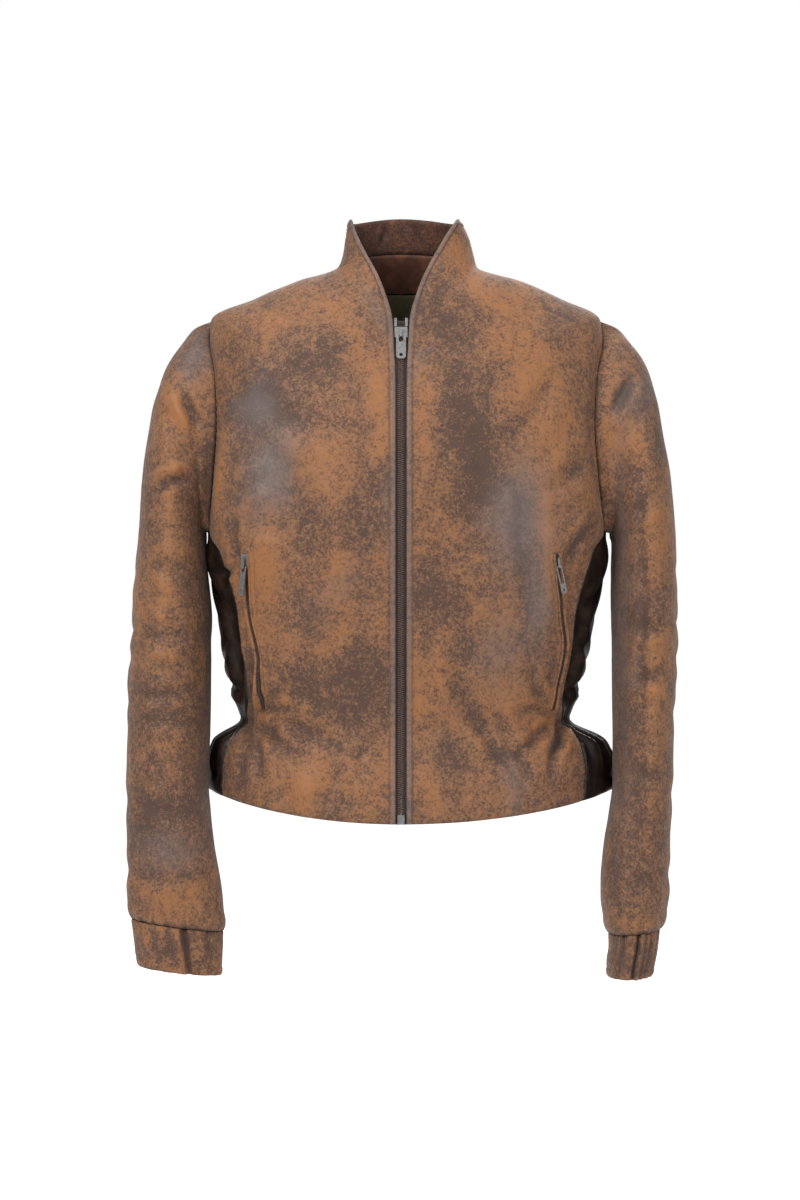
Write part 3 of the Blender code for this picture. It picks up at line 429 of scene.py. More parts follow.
def noise(points, size, seed):
    """Smooth noise from -1 to 1 with features of this size."""
    place = points / size + seed * 7.31
    low = np.floor(place).astype(np.int64)
    share = place - low
    share = share * share * (3 - 2 * share)
    total = np.zeros(points.shape[:-1])
    for corner in np.ndindex(2, 2, 2):
        key = (low + corner) @ np.array((73856093, 19349663, 83492791))
        key = (key ^ (key >> 13)) * 1274126177
        weight = np.prod(np.where(corner, share, 1 - share), axis=-1)
        total += weight * (((key ^ (key >> 16)) & 0xFFFF) / 32767.5 - 1)
    return total


def smooth_line(points, steps=6):
    """A smooth line through a crease's points, in metres."""
    points = np.array(points, float) * MM
    return value(points, np.linspace(0, len(points) - 1, (len(points) - 1) * steps + 1))


def crease(u, v, points, width, rise):
    """A soft trough or ridge along a line, with a low rim on each side, fading out at its ends."""
    line, width = smooth_line(points), width * MM
    reach = 4 * width
    near = (u > line[:, 0].min() - reach) & (u < line[:, 0].max() + reach)
    near &= (v > line[:, 1].min() - reach) & (v < line[:, 1].max() + reach)
    out = np.zeros(u.shape)
    if not near.any():
        return out
    at = np.stack((u[near], v[near]), axis=-1)
    distance, place = np.full(len(at), 1.0), np.zeros(len(at))
    for index, (start, end) in enumerate(zip(line, line[1:])):
        step = end - start
        share = np.clip((at - start) @ step / (step @ step), 0, 1)
        apart = np.linalg.norm(at - start - share[:, None] * step, axis=1)
        closer = apart < distance
        distance = np.where(closer, apart, distance)
        place = np.where(closer, (index + share) / (len(line) - 1), place)
    across = distance / width
    ends = np.sin(math.pi * (0.08 + 0.84 * place)) ** 0.8
    out[near] = rise * MM * ends * (bell(across, 1) - 0.32 * bell(across - 2, 0.9))
    return out


def gathers(u, v, seed, count, u_range, v_range, width, rise):
    """Many short creases up and down, of varied length and depth, such as gathers at a seam."""
    draw = np.random.default_rng(seed)
    total = np.zeros(u.shape)
    for middle in np.linspace(*u_range, count):
        middle += draw.uniform(-3, 3)
        low, high = v_range[0] + draw.uniform(-6, 3), v_range[1] + draw.uniform(-6, 14)
        lean = draw.uniform(-5, 5)
        points = ((middle, low), (middle + lean / 2, (low + high) / 2), (middle + lean, high))
        total += crease(u, v, points, width * draw.uniform(0.8, 1.3), rise * draw.uniform(0.5, 1.2))
    return total


def folds(points, normals, side_panel=False):
    """The creases and soft dents of a piece, as metres out of its surface."""
    x, y, z = np.moveaxis(points, -1, 0)
    to_front = smooth_step(-0.15, 0.45, -normals[..., 1])
    to_back = smooth_step(-0.15, 0.45, normals[..., 1])
    total = 1.0 * MM * noise(points, 0.050, 1) + 0.45 * MM * noise(points, 0.021, 2)
    edge_on = 1 - 0.6 * (np.abs(x) > 0.2) * smooth_step(0.45, 0.85, np.abs(normals[..., 0]))
    views = [(to_front * edge_on, x, FRONT_CREASES), (to_back * edge_on, x, BACK_CREASES)]
    if side_panel:
        views.append((1.0, y, SIDE_CREASES))
    else:
        views.append((0.5 * smooth_step(0.45, 0.85, -normals[..., 0]) * (x < -0.2), y, RIGHT_CREASES))
        views.append((0.5 * smooth_step(0.45, 0.85, normals[..., 0]) * (x > 0.2), y, LEFT_CREASES))
    for weight, u, creases in views:
        if np.any(weight > 0):
            total += weight * CREASE_DEPTH * sum(crease(u, z, *entry) for entry in creases)
    total += to_back * (np.abs(x) < 0.17) * gathers(x, z, 3, 15, (-140, 140), (-482, -432), 4.0, -2.0)
    front_waist = to_front * (np.abs(x) < 0.17)
    total += front_waist * gathers(x, z, 4, 3, (-152, -124), (-476, -436), 3.2, -1.6)
    total += front_waist * gathers(x, z, 5, 3, (126, 156), (-476, -436), 3.2, -1.6)
    return total


def patches(points, normals, front, back):
    """The sum of a list's patches at each point, as seen from the front or from behind."""
    x, _, z = np.moveaxis(points, -1, 0)
    to_front = smooth_step(-0.35, 0.35, -normals[..., 1])
    wobble = 6 * MM * noise(points, 0.022, 8)
    total = np.zeros(x.shape)
    for weight, entries in ((to_front, front), (1 - to_front, back)):
        for middle_x, middle_z, length, width, turn, amount in entries:
            across, up = x - middle_x * MM + wobble, z - middle_z * MM - wobble
            cosine, sine = math.cos(math.radians(turn)), math.sin(math.radians(turn))
            along = (across * cosine + up * sine) / (length * MM)
            beside = (up * cosine - across * sine) / (width * MM)
            total += weight * amount * np.exp(-((along**2 + beside**2) ** 1.2))
    return total


# ---- pieces ----


def add_piece(name, points, faces, materials, indices=None, fields=None):
    """An object of these points and faces, smooth, with its numbers for each point."""
    mesh = bpy.data.meshes.new(name)
    mesh.from_pydata(points.tolist(), [], faces.tolist())
    for material in materials:
        mesh.materials.append(material)
    if indices is not None:
        mesh.polygons.foreach_set("material_index", indices)
    for key, numbers in (fields or {}).items():
        mesh.attributes.new(key, "FLOAT", "POINT").data.foreach_set("value", numbers.astype(np.float32))
    mesh.shade_smooth()
    mesh.update()
    piece = bpy.data.objects.new(name, mesh)
    bpy.context.scene.collection.objects.link(piece)
    return piece


def grid_faces(index, ring=False):
    """The quads between the rows and columns of a grid of point numbers."""
    if ring:
        index = np.concatenate([index, index[:, :1]], axis=1)
    corners = (index[:-1, :-1], index[:-1, 1:], index[1:, 1:], index[1:, :-1])
    return np.stack([corner.ravel() for corner in corners], axis=1)


def shell(name, outer, inner, materials, fields, ring=False):
    """A closed thin shell between two grids of points. The second material is for its inner side."""
    rows, columns = outer.shape[:2]
    count = rows * columns
    top = np.arange(count).reshape(rows, columns)
    low = top + count
    layers = [grid_faces(top, ring), grid_faces(low, ring)[:, ::-1]]
    rims = [np.stack((low[0], top[0])), np.stack((top[-1], low[-1]))]
    layers += [grid_faces(rim, ring) for rim in rims]
    if not ring:
        layers += [grid_faces(np.stack((top[:, 0], low[:, 0]))), grid_faces(np.stack((low[:, -1], top[:, -1])))]
    faces = np.concatenate(layers)
    points = np.concatenate([outer.reshape(-1, 3), inner.reshape(-1, 3)])
    first, second, third, fourth = (points[faces[:, corner]] for corner in range(4))
    volume = np.einsum("ij,ij->", first, np.cross(second, third) + np.cross(third, fourth))
    if volume < 0:
        faces = faces[:, ::-1]
    indices = np.zeros(len(faces), int)
    indices[len(layers[0]) : len(layers[0]) + len(layers[1])] = len(materials) - 1
    both = {key: np.tile(numbers.ravel(), 2) for key, numbers in fields.items()}
    return add_piece(name, points, faces, materials, indices, both)


def cloth(piece, nodes):
    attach(piece, "jacket")
    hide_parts(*nodes)
    return piece


def trim(piece, slot, *nodes):
    """A piece too small or narrow to be a sheet of its own."""
    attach(piece, "jacket")
    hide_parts(*nodes)
    return piece


def side_name(side):
    return "left" if side > 0 else "right"


def rolled(distance, height=0.9 * MM, stitch=6.0 * MM):
    """A turned edge: round at the rim, raised up to the stitch line, which sinks in."""
    rise = height * (1 - fade(distance, 0.8 * MM)) * (1 - smooth_step(stitch - 1.8 * MM, stitch, distance))
    groove = 0.55 * MM * bell(distance - stitch, 0.8 * MM)
    return rise - groove - 0.5 * MM * fade(distance, 0.5 * MM)


def hem_roll(height):
    return rolled(height, 0.7 * MM, HEM_STITCH)


def puckers(distance, along, points, reach=5 * MM, height=0.28 * MM):
    """Small ripples square to a seam."""
    phase = along / (7.0 * MM) * 2 * math.pi + 2.4 * noise(points, 0.03, 11)
    return height * np.sin(phase) * bell(distance, reach)


def ditch(distance, depth=0.5 * MM, width=1.6 * MM):
    return -depth * fade(distance, width)


def below_shoulder(points):
    """1 down the sides, falling to a little on top of the shoulder, where the seams are pulled flat."""
    return 1 - 0.85 * smooth_step(-0.17, -0.09, points[..., 2])


def arc(points):
    """How far along each row or line its points lie, from the first."""
    steps = np.linalg.norm(np.diff(points, axis=0), axis=-1)
    return np.concatenate([np.zeros_like(steps[:1]), np.cumsum(steps, axis=0)])


def arc_across(points):
    """How far along its row each point of a grid lies, from the first column."""
    return arc(np.swapaxes(points, 0, 1)).T


def from_edge(points, column):
    """Distance of each point of a grid from the points of one column in the same row, along the surface."""
    along = arc_across(points)
    return np.abs(along - along[:, column][:, None])


def tones_and_painted_light(points, normals, rise, extra=0.0):
    """The leather's patches, and its painted sheen. The surface's rise is added to the tone: ridges paler, partly
    rubbed wear and partly painted light, and troughs darker, as painted shade.
    """
    tone_and_shade = patches(points, normals, FRONT_PATCHES, BACK_PATCHES) + rise / (4.5 * MM) + extra
    painted_sheen = patches(points, normals, FRONT_SHEEN, BACK_SHEEN)
    return {"tone_and_shade": np.clip(tone_and_shade, -1.6, 1.6), "painted_sheen": np.clip(painted_sheen, 0, 1)}


def walls(points, normals, outside, inside):
    """The outer and inner points of a shell, this far out of a surface."""
    return points + normals * outside[..., None], points + normals * inside[..., None]


def body_grid(station, turn):
    """Points, normals and large folds of a grid on the body."""
    points, normals = body_base(station, turn), body_normal(station, turn)
    return points, normals, relief(station, turn)


def flat_at_armhole(station, to_seam):
    """0 at the armhole's seam, where a fold would open it, rising to 1 away from it."""
    beside = smooth_step(7.6, 8.0, station)[:, None]
    return 1 - beside * (1 - smooth_step(0, 14 * MM, to_seam))


def seam_half(station):
    """Half the open width of a seam between panels: next to nothing where a sleeve is set in."""
    return np.where(station > UNDERARM, 0.05 * MM, 0.1 * MM)


def front_turns(station, side):
    """Turns of a front panel's fine columns: close together at the front edge and at the seam."""
    near = edge_turn(station[:, None], side, EDGE_STEPS[None, :])
    seam = front_seam(station, side)[:, None] - np.degrees(seam_half(station)[:, None] / SIDE_RADIUS)
    far = seam - np.degrees(SEAM_STEPS[::-1] / SIDE_RADIUS)
    shares = np.linspace(0, 1, 78)[1:-1]
    between = near[:, -1:] + (far[:, :1] - near[:, -1:]) * shares
    return side * np.concatenate([near, between, far], axis=1)


def pocket_line(side):
    """Stations and turns of the middle of a pocket's zip."""
    station = stations(POCKET_LOW, POCKET_TOP, 2 * MM)
    turn = value(POCKET_LEFT if side > 0 else POCKET_RIGHT, station) + POCKET_BAND / 2
    return station, side * turn


def pocket_dent(points, side):
    """The pull of the pocket's seam on the leather round it: a raised lip with a stitched line, and a hollow."""
    line = body_base(*pocket_line(side))
    flat = points.reshape(-1, 3)
    distance = np.full(len(flat), 1.0)
    near = np.where(np.linalg.norm(flat - line.mean(0), axis=1) < 0.13)[0]
    for start in range(0, len(near), 4000):
        part = near[start : start + 4000]
        distance[part] = np.linalg.norm(flat[part, None] - line[None, ::2], axis=2).min(1)
    distance = distance.reshape(points.shape[:-1])
    lip = 0.9 * MM * bell(distance - 5.2 * MM, 2.2 * MM)
    groove = 0.6 * MM * bell(distance - POCKET_STITCH, 1.1 * MM)
    return lip - groove - 0.8 * MM * bell(distance, 3 * MM)


def front_panel(side, leather, lining, thread):
    """A front with half the collar, turned in at its front edge and at the top."""
    station = stations(0, COLLAR_TOP, GRID)
    turn = front_turns(station, side)
    points, normals, large = body_grid(station[:, None], turn)
    distance, to_seam = from_edge(points, 0), from_edge(points, -1)
    height = arc(points)
    top = height[-1] - height
    rise = folds(points, normals) + pocket_dent(points, side)
    calm = smooth_step(1 * MM, 16 * MM, distance)
    near_sleeve = smooth_step(60, 76, np.abs(turn)) * (station[:, None] > 6.4) * (station[:, None] < 11)
    rise = rise * calm * (1 - 0.6 * near_sleeve * (rise > 0)) * flat_at_armhole(station, to_seam)
    quiet = below_shoulder(points)
    edges = rolled(distance) + puckers(distance - 4 * MM, height, points) + ditch(to_seam) * quiet
    edges += puckers(to_seam, height, points, 8 * MM, 0.35 * MM) * quiet
    collar = rolled(top) * smooth_step(0, 4 * MM, distance)
    hem = hem_roll(height) * smooth_step(0, 4 * MM, distance)
    out = large + rise + edges + collar + hem
    outer, inner = walls(points, normals, out, large + rise * 0.9 - LEATHER)
    # Paler band just in from the front edge, as rubbed wear; the darker rim and the darker line at the stitch groove
    # are painted shade.
    rub = 0.15 * bell(distance - 2 * MM, 2.4 * MM) - 0.5 * fade(distance, 0.6 * MM)
    rub -= 0.4 * bell(distance - 6 * MM, 1.2 * MM)
    # The tone is also darker next to the seam: painted shade.
    fields = tones_and_painted_light(points, normals, rise + edges, rub - 0.35 * quiet * fade(to_seam, 2.5 * MM))
    # A band of painted sheen along the front edge.
    fields["painted_sheen"] = np.maximum(fields["painted_sheen"], 0.75 * np.exp(-((distance / (5.5 * MM)) ** 4)))
    name = side_name(side)
    piece = shell(f"leather_front_{name}", outer, inner, (leather, lining), fields)
    cloth(piece, [f"front_{name}"])
    stitches(f"thread_front_{name}", outer[1:-1, STITCH_COLUMN], normals[1:-1, STITCH_COLUMN], thread)
    return piece


def side_turns(station, side):
    half = np.degrees(seam_half(station)[:, None] / SIDE_RADIUS)
    start = front_seam(station, side)[:, None] + half
    end = value(BACK_SEAM, station)[:, None] - half
    return side * (start + (end - start) * np.linspace(0, 1, 46))


def side_panel(side, leather, lining):
    """The panel under the arm, from the hem to the armhole. Its near-black leather is painted shade."""
    station = stations(0, UNDERARM, GRID)
    points, normals, large = body_grid(station[:, None], side_turns(station, side))
    to_front, to_back = from_edge(points, 0), from_edge(points, -1)
    height = arc(points)
    rise = folds(points, normals, side_panel=True)
    rise = np.where((rise > 0) & (station[:, None] > 4), rise * 0.3, rise)
    edges = ditch(to_front) + ditch(to_back) + hem_roll(height)
    edges += puckers(to_front, height, points, 8 * MM) + puckers(to_back, height, points, 8 * MM)
    outer, inner = walls(points, normals, large + rise + edges, large + rise * 0.9 - LEATHER)
    name = side_name(side)
    fields = tones_and_painted_light(points, normals, rise + edges)
    piece = shell(f"leather_side_{name}", outer, inner, (leather, lining), fields)
    return cloth(piece, [f"side_{name}"])


def back_turns(station, columns):
    seam = value(BACK_SEAM, station)[:, None] + np.degrees(seam_half(station)[:, None] / SIDE_RADIUS)
    return seam + (360 - 2 * seam) * np.linspace(0, 1, columns)


def wrapped(turn):
    return np.where(turn > 180, turn - 360, turn)


def back_panel(leather, lining):
    """The back with the back half of the collar, in one."""
    station = stations(0, COLLAR_TOP, GRID)
    turn = wrapped(back_turns(station, 158))
    points, normals, large = body_grid(station[:, None], turn)
    to_seam = np.minimum(from_edge(points, 0), from_edge(points, -1))
    height = arc(points)
    top = height[-1] - height
    quiet = below_shoulder(points)
    rise = folds(points, normals) * flat_at_armhole(station, to_seam)
    edges = (ditch(to_seam) + puckers(to_seam, height, points, 8 * MM, 0.35 * MM)) * quiet
    edges += rolled(top) + hem_roll(height)
    outer, inner = walls(points, normals, large + rise + edges, large + rise * 0.9 - LEATHER)
    # Darker next to the seams: painted shade.
    fields = tones_and_painted_light(points, normals, rise + edges, -0.35 * fade(to_seam, 2.5 * MM))
    piece = shell("leather_back", outer, inner, (leather, lining), fields)
    return cloth(piece, ["back"])


def inner_layer(name, node, station, turn, thick, material, extra=0.0):
    """A layer that lies against the inside of the leather."""
    points, normals, large = body_grid(station[:, None], turn)
    rise = folds(points, normals) * smooth_step(0, 16 * MM, np.abs(points[..., 0]) - 4 * MM * (points[..., 1] < 0))
    height = arc(points)
    rim = np.minimum(height, height[-1] - height)
    soft = 0.35 * MM * fade(rim, 0.8 * MM)
    outside = large + rise * 0.9 - LEATHER - GAP
    outer, inner = walls(points, normals, outside - soft, outside - thick + soft)
    fields = tones_and_painted_light(points, normals, -rise, extra)
    piece = shell(name, outer, inner, (material,), fields)
    return cloth(piece, [node])


def inner_layers(leather, facing, lining):
    station = stations(NECK_SEAM + 0.02, COLLAR_TOP - 0.03, FACING_GRID)
    fronts = {side: edge_turn(station, side, 1.2 * MM)[:, None] for side in (1, -1)}
    whole = 360 - fronts[-1] - fronts[1]
    turn = wrapped(fronts[1] + whole * np.linspace(0, 1, 130))
    # The inner collar is darkened further: painted shade.
    inner_layer(
        "leather_collar_facing", "collar_facing", station, turn, FACING, leather,
        -0.5,
    )
    station = stations(ZIP_TOP + 0.03, NECK_SEAM - 0.02, FACING_GRID)
    inner_layer(
        "leather_neck_facing", "neck_facing", station, wrapped(back_turns(station, 90)), FACING,
        facing,
    )
    station = stations(1, ZIP_TOP - 0.03, COARSE_GRID)
    inner_layer(
        "cloth_back_lining", "back_lining", station, wrapped(back_turns(station, 110)), LINING, lining,
    )


# ---- sleeves and cuffs ----


def ring_points(ring, turn):
    """Points of oval rings. The turn starts at the outer point and goes forwards, in degrees."""
    outer_x, outer_z, inner_x, inner_z, depth, forward = np.moveaxis(np.asarray(ring), -1, 0)
    angle = np.radians(turn)
    x = (outer_x + inner_x) / 2 + (outer_x - inner_x) / 2 * np.cos(angle)
    z = (outer_z + inner_z) / 2 + (outer_z - inner_z) / 2 * np.cos(angle)
    return np.stack((x, -forward - depth * np.sin(angle), z + 0 * x), axis=-1)


def armhole(side):
    """The loop of the body's edge that the sleeve is sewn to: from the shoulder, down the front and up the back."""
    up = stations(UNDERARM, SHOULDER, GRID * 1.25)
    down = up[::-1]
    across = np.linspace(front_seam(UNDERARM, side), value(BACK_SEAM, UNDERARM), 22)[1:-1]
    station = np.concatenate([down, np.full(len(across), float(UNDERARM)), up[:-1]])
    turn = side * np.concatenate([front_seam(down, side), across, value(BACK_SEAM, up[:-1])])
    return body_base(station, turn) + body_normal(station, turn) * relief(station, turn)[:, None]


def ring_normals(points, side):
    round_ = np.roll(points, -1, axis=1) - np.roll(points, 1, axis=1)
    down = np.gradient(points, axis=0)
    return unit(np.cross(round_, -down)) * -side


def sleeve_grid(side):
    """Fine rows of a sleeve, from the armhole down to the cuff's seam."""
    seam = armhole(side)
    rings = SLEEVE_LEFT if side > 0 else SLEEVE_RIGHT
    top, low = seam[0, 2], seam[:, 2].min()
    half_height, half_depth = (top - low) / 2, np.abs(seam[:, 1]).max()
    turns = np.degrees(np.arctan2(-seam[:, 1] / half_depth, (seam[:, 2] - (top + low) / 2) / half_height)) % 360
    flat = 360 * np.arange(len(seam)) / len(seam)
    outward = np.array((side, 0, 0))
    rows = [seam + outward * 0.1 * MM]
    for index, ring in enumerate(rings):
        settle = min(1.0, (index + 1) / SLEEVE_SETTLE)
        row = ring_points(ring, turns + (flat - turns) * settle)
        if index == 0:
            row = row + (seam + outward * 12 * MM - row) * 0.45
        rows.append(row)
    rows = np.stack(rows)
    steps = np.linalg.norm(np.diff(rows[:, 0], axis=0), axis=1)
    places = [np.linspace(k, k + 1, max(3, round(step / GRID)), endpoint=False) for k, step in enumerate(steps)]
    return value(rows, np.concatenate([*places, [len(rows) - 1.0]]))


def toward_body(normals, side):
    return smooth_step(0.25, 0.75, -side * normals[..., 0])


def sleeve(side, leather, lining):
    points = sleeve_grid(side)
    normals = ring_normals(points, side)
    height = arc(points)
    to_cuff = height[-1] - height
    rise = folds(points, normals)
    rise = rise * smooth_step(0, 14 * MM, height)
    across = points[..., 0] * side
    inner_x, outer_x = across[-1].min() / MM, across[-1].max() / MM
    for seed, (facing, first) in enumerate(((-1, 20), (1, 30))):
        weight = smooth_step(0.0, 0.5, facing * normals[..., 1])
        z_low = points[-1, :, 2].min() / MM
        u_range = (inner_x + 6, outer_x - 6)
        rise += weight * gathers(across, points[..., 2], first + seed, 9, u_range, (z_low + 2, z_low + 26), 2.8, -1.5)
    close = toward_body(normals, side) * (points[..., 2] > -0.53)
    rise = np.where(rise > 0, rise * (1 - close), rise)
    if side < 0:
        rise += 1.5 * MM * close * bell(points[..., 2] + 0.281, 0.018)
    blouse = 1.6 * MM * bell(to_cuff - 9 * MM, 7 * MM) - 1.2 * MM * fade(to_cuff, 1.5 * MM)
    along = arc_across(points)
    quiet = below_shoulder(points)
    edges = ditch(height, 0.5 * MM, 1.6 * MM) * quiet
    edges += puckers(height, along, points, 9 * MM, 0.4 * MM) * (1 - close)
    edges += puckers(to_cuff, along, points, 7 * MM, 0.4 * MM) + blouse
    outer, inner = walls(points, normals, rise + edges, rise * 0.9 - LEATHER)
    shade = -0.45 * quiet * fade(height, 5 * MM) - 0.5 * fade(to_cuff, 4 * MM) - 0.4 * close
    fields = tones_and_painted_light(points, normals, rise + edges, shade)
    name = side_name(side)
    piece = shell(f"leather_sleeve_{name}", outer, inner, (leather, lining), fields, ring=True)
    cloth(piece, [f"sleeve_{name}"])
    return piece


def cuff(side, leather, lining):
    """A short cuff with a deep pleat in front and smaller ones round it."""
    rings = CUFF_LEFT if side > 0 else CUFF_RIGHT
    places = np.linspace(0, len(rings) - 1, 22)
    turn = np.arange(240) * 1.5
    points = ring_points(value(rings, places)[:, None, :], turn[None, :])
    normals = ring_normals(points, side)
    height = arc(points)
    to_rim = height[-1] - height
    share = places[:, None] / places[-1]
    rise = 0.35 * MM * noise(points, 0.012, 5) + 0.6 * MM * noise(points, 0.03, 6)
    for middle, depth, width in PLEATS_LEFT if side > 0 else PLEATS_RIGHT:
        at = middle + 5 * (share - 0.5)
        apart = (turn[None, :] - at + 180) % 360 - 180
        fall = np.where(apart > 0, apart / width, apart / (2.2 * width))
        rise -= depth * MM * bell(fall, 1) * (1 - 0.25 * share)
        rise += 0.35 * depth * MM * bell(apart + 3.4 * width, 2 * width)
    edges = rolled(to_rim, 0.5 * MM, 8 * MM) + ditch(height, 0.5 * MM, 1.0 * MM)
    along = arc_across(points)
    edges += puckers(height, along, points, 8 * MM, 0.45 * MM) * (1 - 0.5 * share)
    outer, inner = walls(points, normals, rise + edges, rise * 0.8 - LEATHER)
    # The folds' tone is taken 1.5 times over: pleat troughs darker, as painted shade, and ridges paler, as wear and
    # painted light.
    fields = tones_and_painted_light(points, normals, (rise + edges) * 1.5)
    name = side_name(side)
    piece = shell(f"leather_cuff_{name}", outer, inner, (leather, lining), fields, ring=True)
    return cloth(piece, [f"cuff_{name}"])


# ---- stitches and zips ----


def resampled(line, normals, pitch):
    """Places at an even pitch along a line, with their direction along it and out of the surface."""
    reach = arc(line)
    at = np.arange(pitch / 2, reach[-1], pitch)

    def read(rows, places):
        return np.stack([np.interp(places, reach, rows[:, axis]) for axis in range(3)], axis=1)

    along = unit(read(line, at + 0.2 * MM) - read(line, at - 0.2 * MM))
    out = read(normals, at)
    out = unit(out - along * np.sum(out * along, axis=1, keepdims=True))
    return read(line, at), along, out


def copies(name, template, faces, middle, along, out, material):
    """One mesh of a small closed shape repeated: its X goes across a line, Y along it and Z out of the cloth."""
    across = np.cross(along, out)
    axes = np.stack((across, along, out), axis=1)
    points = middle[:, None] + np.einsum("ni,kij->knj", template, axes)
    shift = np.arange(len(middle))[:, None, None] * len(template)
    every = (np.asarray(faces)[None] + shift).reshape(-1, 4)
    return add_piece(name, points.reshape(-1, 3), every, (material,))


def capsule(length, radius, sides=6):
    """A closed spindle along Y, thick in the middle and thin at its sunk ends."""
    profile = ((-0.5, 0.15, -0.9), (-0.34, 0.85, -0.25), (0, 1, 0.1), (0.34, 0.85, -0.25), (0.5, 0.15, -0.9))
    turn = np.arange(sides) / sides * 2 * math.pi
    points = np.concatenate([
        np.stack((np.cos(turn) * wide, np.full(sides, at * length / radius), np.sin(turn) * wide + sink), axis=1)
        for at, wide, sink in profile
    ]) * radius
    index = np.arange(len(points)).reshape(len(profile), sides)
    faces = grid_faces(index, ring=True)[:, ::-1]
    caps = [[row[a] for a in (0, 1, 2, 3)] for row in (index[0], index[-1][::-1])]
    caps += [[row[a] for a in (0, 3, 4, 5)] for row in (index[0], index[-1][::-1])]
    return points, np.concatenate([faces, caps])


def stitches(name, line, normals, thread):
    middle, along, out = resampled(line, normals, STITCH_PITCH)
    template, faces = capsule(STITCH_LENGTH, THREAD)
    piece = copies(name, template, faces, middle + out * 0.12 * MM, along, out, thread)
    return trim(piece, "leather")


def tooth(width, height, thick, inset=0.25 * MM):
    """A closed block with narrowed front and back faces."""
    x, y, z = width / 2, height / 2, thick / 2
    levels = ((-z, inset), (-z + inset, 0), (z - inset, 0), (z, inset))
    corners = ((-1, -1), (1, -1), (1, 1), (-1, 1))
    points = np.array([(sx * (x - cut), sy * (y - cut), level) for level, cut in levels for sx, sy in corners])
    index = np.arange(16).reshape(4, 4)
    caps = [index[0][::-1], index[-1]]
    return points, np.concatenate([grid_faces(index, ring=True), caps])


def zip_line(station):
    """The middle of the front zip's tape, and the direction out of the jacket."""
    edges = []
    for side in (1, -1):
        first = body_base(station, side * edge_turn(station, side))
        second = body_base(station, side * edge_turn(station, side, 20 * MM))
        share = -np.abs(first[:, :1]) / np.abs(second[:, :1] - first[:, :1])
        edges.append(first + (second - first) * share)
    out = body_normal(station, np.full(station.shape, 0.01))
    out[:, 0] = 0
    out = unit(out)
    return (edges[0] + edges[1]) / 2 - out * (LEATHER + GAP + TAPE / 2), out


def front_zip(tape_material, brass):
    station = stations(0.3, TEETH_TOP, 2 * MM)
    middle, out = zip_line(station)
    at, along, outward = resampled(middle, out, TOOTH_PITCH / 2)
    sign = np.where(np.arange(len(at)) % 2, 1, -1)[:, None]
    across = np.cross(along, outward)
    template, faces = tooth(3.0 * MM, 1.15 * MM, 2.2 * MM)
    teeth = copies("teeth_front", template, faces, at + across * sign * 1.25 * MM, along, outward, brass)
    trim(teeth, "zip_teeth", "zip_chain")
    for side in (1, -1):
        station = stations(0, ZIP_TOP, GRID)
        middle, out = zip_line(station)
        x = np.linspace(0.3 * MM, TAPE_REACH, 12)
        surface = body_base(station[:, None], side * edge_turn(station[:, None], side, x[None, :] - 5 * MM))
        behind = surface - out[:, None] * (LEATHER + GAP)
        flat = middle[:, None] + out[:, None] * TAPE / 2
        outer = np.where(x[None, :, None] < 4.5 * MM, flat, behind)
        outer[..., 0] = side * x
        ripple = 0.08 * MM * np.sin(math.pi * arc(outer) / (1.4 * MM))
        outer = outer + out[:, None] * ripple[..., None]
        inner = outer - out[:, None] * TAPE
        name = side_name(side)
        piece = shell(f"tape_front_{name}", outer, inner, (tape_material,), {})
        cloth(piece, [f"zip_tape_{name}"])


def strip(station, turn, across_turns, lifts):
    """Rows of points on the body at turns beside a line, each lifted by its own height."""
    turns = turn[:, None] + across_turns[None, :]
    points, normals, large = body_grid(station[:, None], turns)
    rise = folds(points, normals) + pocket_dent(points, 1 if turn[0] > 0 else -1)
    return points + normals * (large + rise + lifts[None, :])[..., None], normals


def pocket_zip(side, leather, tape_material, brass, thread):
    """A closed zip between two narrow leather welts that stand on the front."""
    station, turn = pocket_line(side)
    degree = math.degrees(MM / 0.165)
    name = side_name(side)
    offsets = np.array((-1.6, -0.8, 0, 0.8, 1.6))
    top, normals = strip(station, turn, offsets * degree, np.full(5, 0.9 * MM))
    low = top - normals * 0.9 * MM
    tape = shell(f"tape_pocket_{name}", top, low, (tape_material,), {})
    trim(tape, "zip_tape", f"pocket_zip_{name}")
    for place, beside in (("front", -1), ("back", 1)):
        turns = np.linspace(0, math.pi, 9)
        offsets = beside * 2.9 - 1.45 * np.cos(turns)
        lifts = 0.2 * MM + 1.5 * MM * np.sin(turns)
        crown, normals = strip(station, turn, offsets * degree, lifts)
        base, _ = strip(station, turn, offsets * degree, np.full(9, -0.3 * MM))
        # The welts get the tone of a 1.2 mm ridge: paler, as wear and painted light.
        fields = tones_and_painted_light(crown, normals, np.full(crown.shape[:2], 1.2 * MM))
        welt = shell(f"leather_welt_{place}_{name}", crown, base, (leather,), fields)
        trim(welt, "leather")
        line, out = strip(station, turn, np.array((beside * POCKET_STITCH / MM * degree,)), np.array((0.1 * MM,)))
        stitches(f"thread_pocket_{place}_{name}", line[:, 0], out[:, 0], thread)
    line, out = strip(station, turn, np.zeros(1), np.full(1, 1.2 * MM))
    middle, along, out = resampled(line[:, 0], out[:, 0], POCKET_TOOTH_PITCH)
    template, faces = tooth(2.4 * MM, 0.7 * MM, 0.9 * MM, 0.15 * MM)
    sign = np.where(np.arange(len(middle)) % 2, 1, -1)[:, None]
    at = middle + np.cross(along, out) * sign * 0.35 * MM
    teeth = copies(f"teeth_pocket_{name}", template, faces, at, along, out, brass)
    trim(teeth, "zip_teeth")


# ---- materials ----


def node(tree, kind, inputs=None, **settings):
    made = tree.nodes.new("ShaderNode" + kind)
    for key, setting in settings.items():
        setattr(made, key, setting)
    for key, entry in (inputs or {}).items():
        if isinstance(entry, bpy.types.NodeSocket):
            tree.links.new(entry, made.inputs[key])
        else:
            made.inputs[key].default_value = entry
    return made


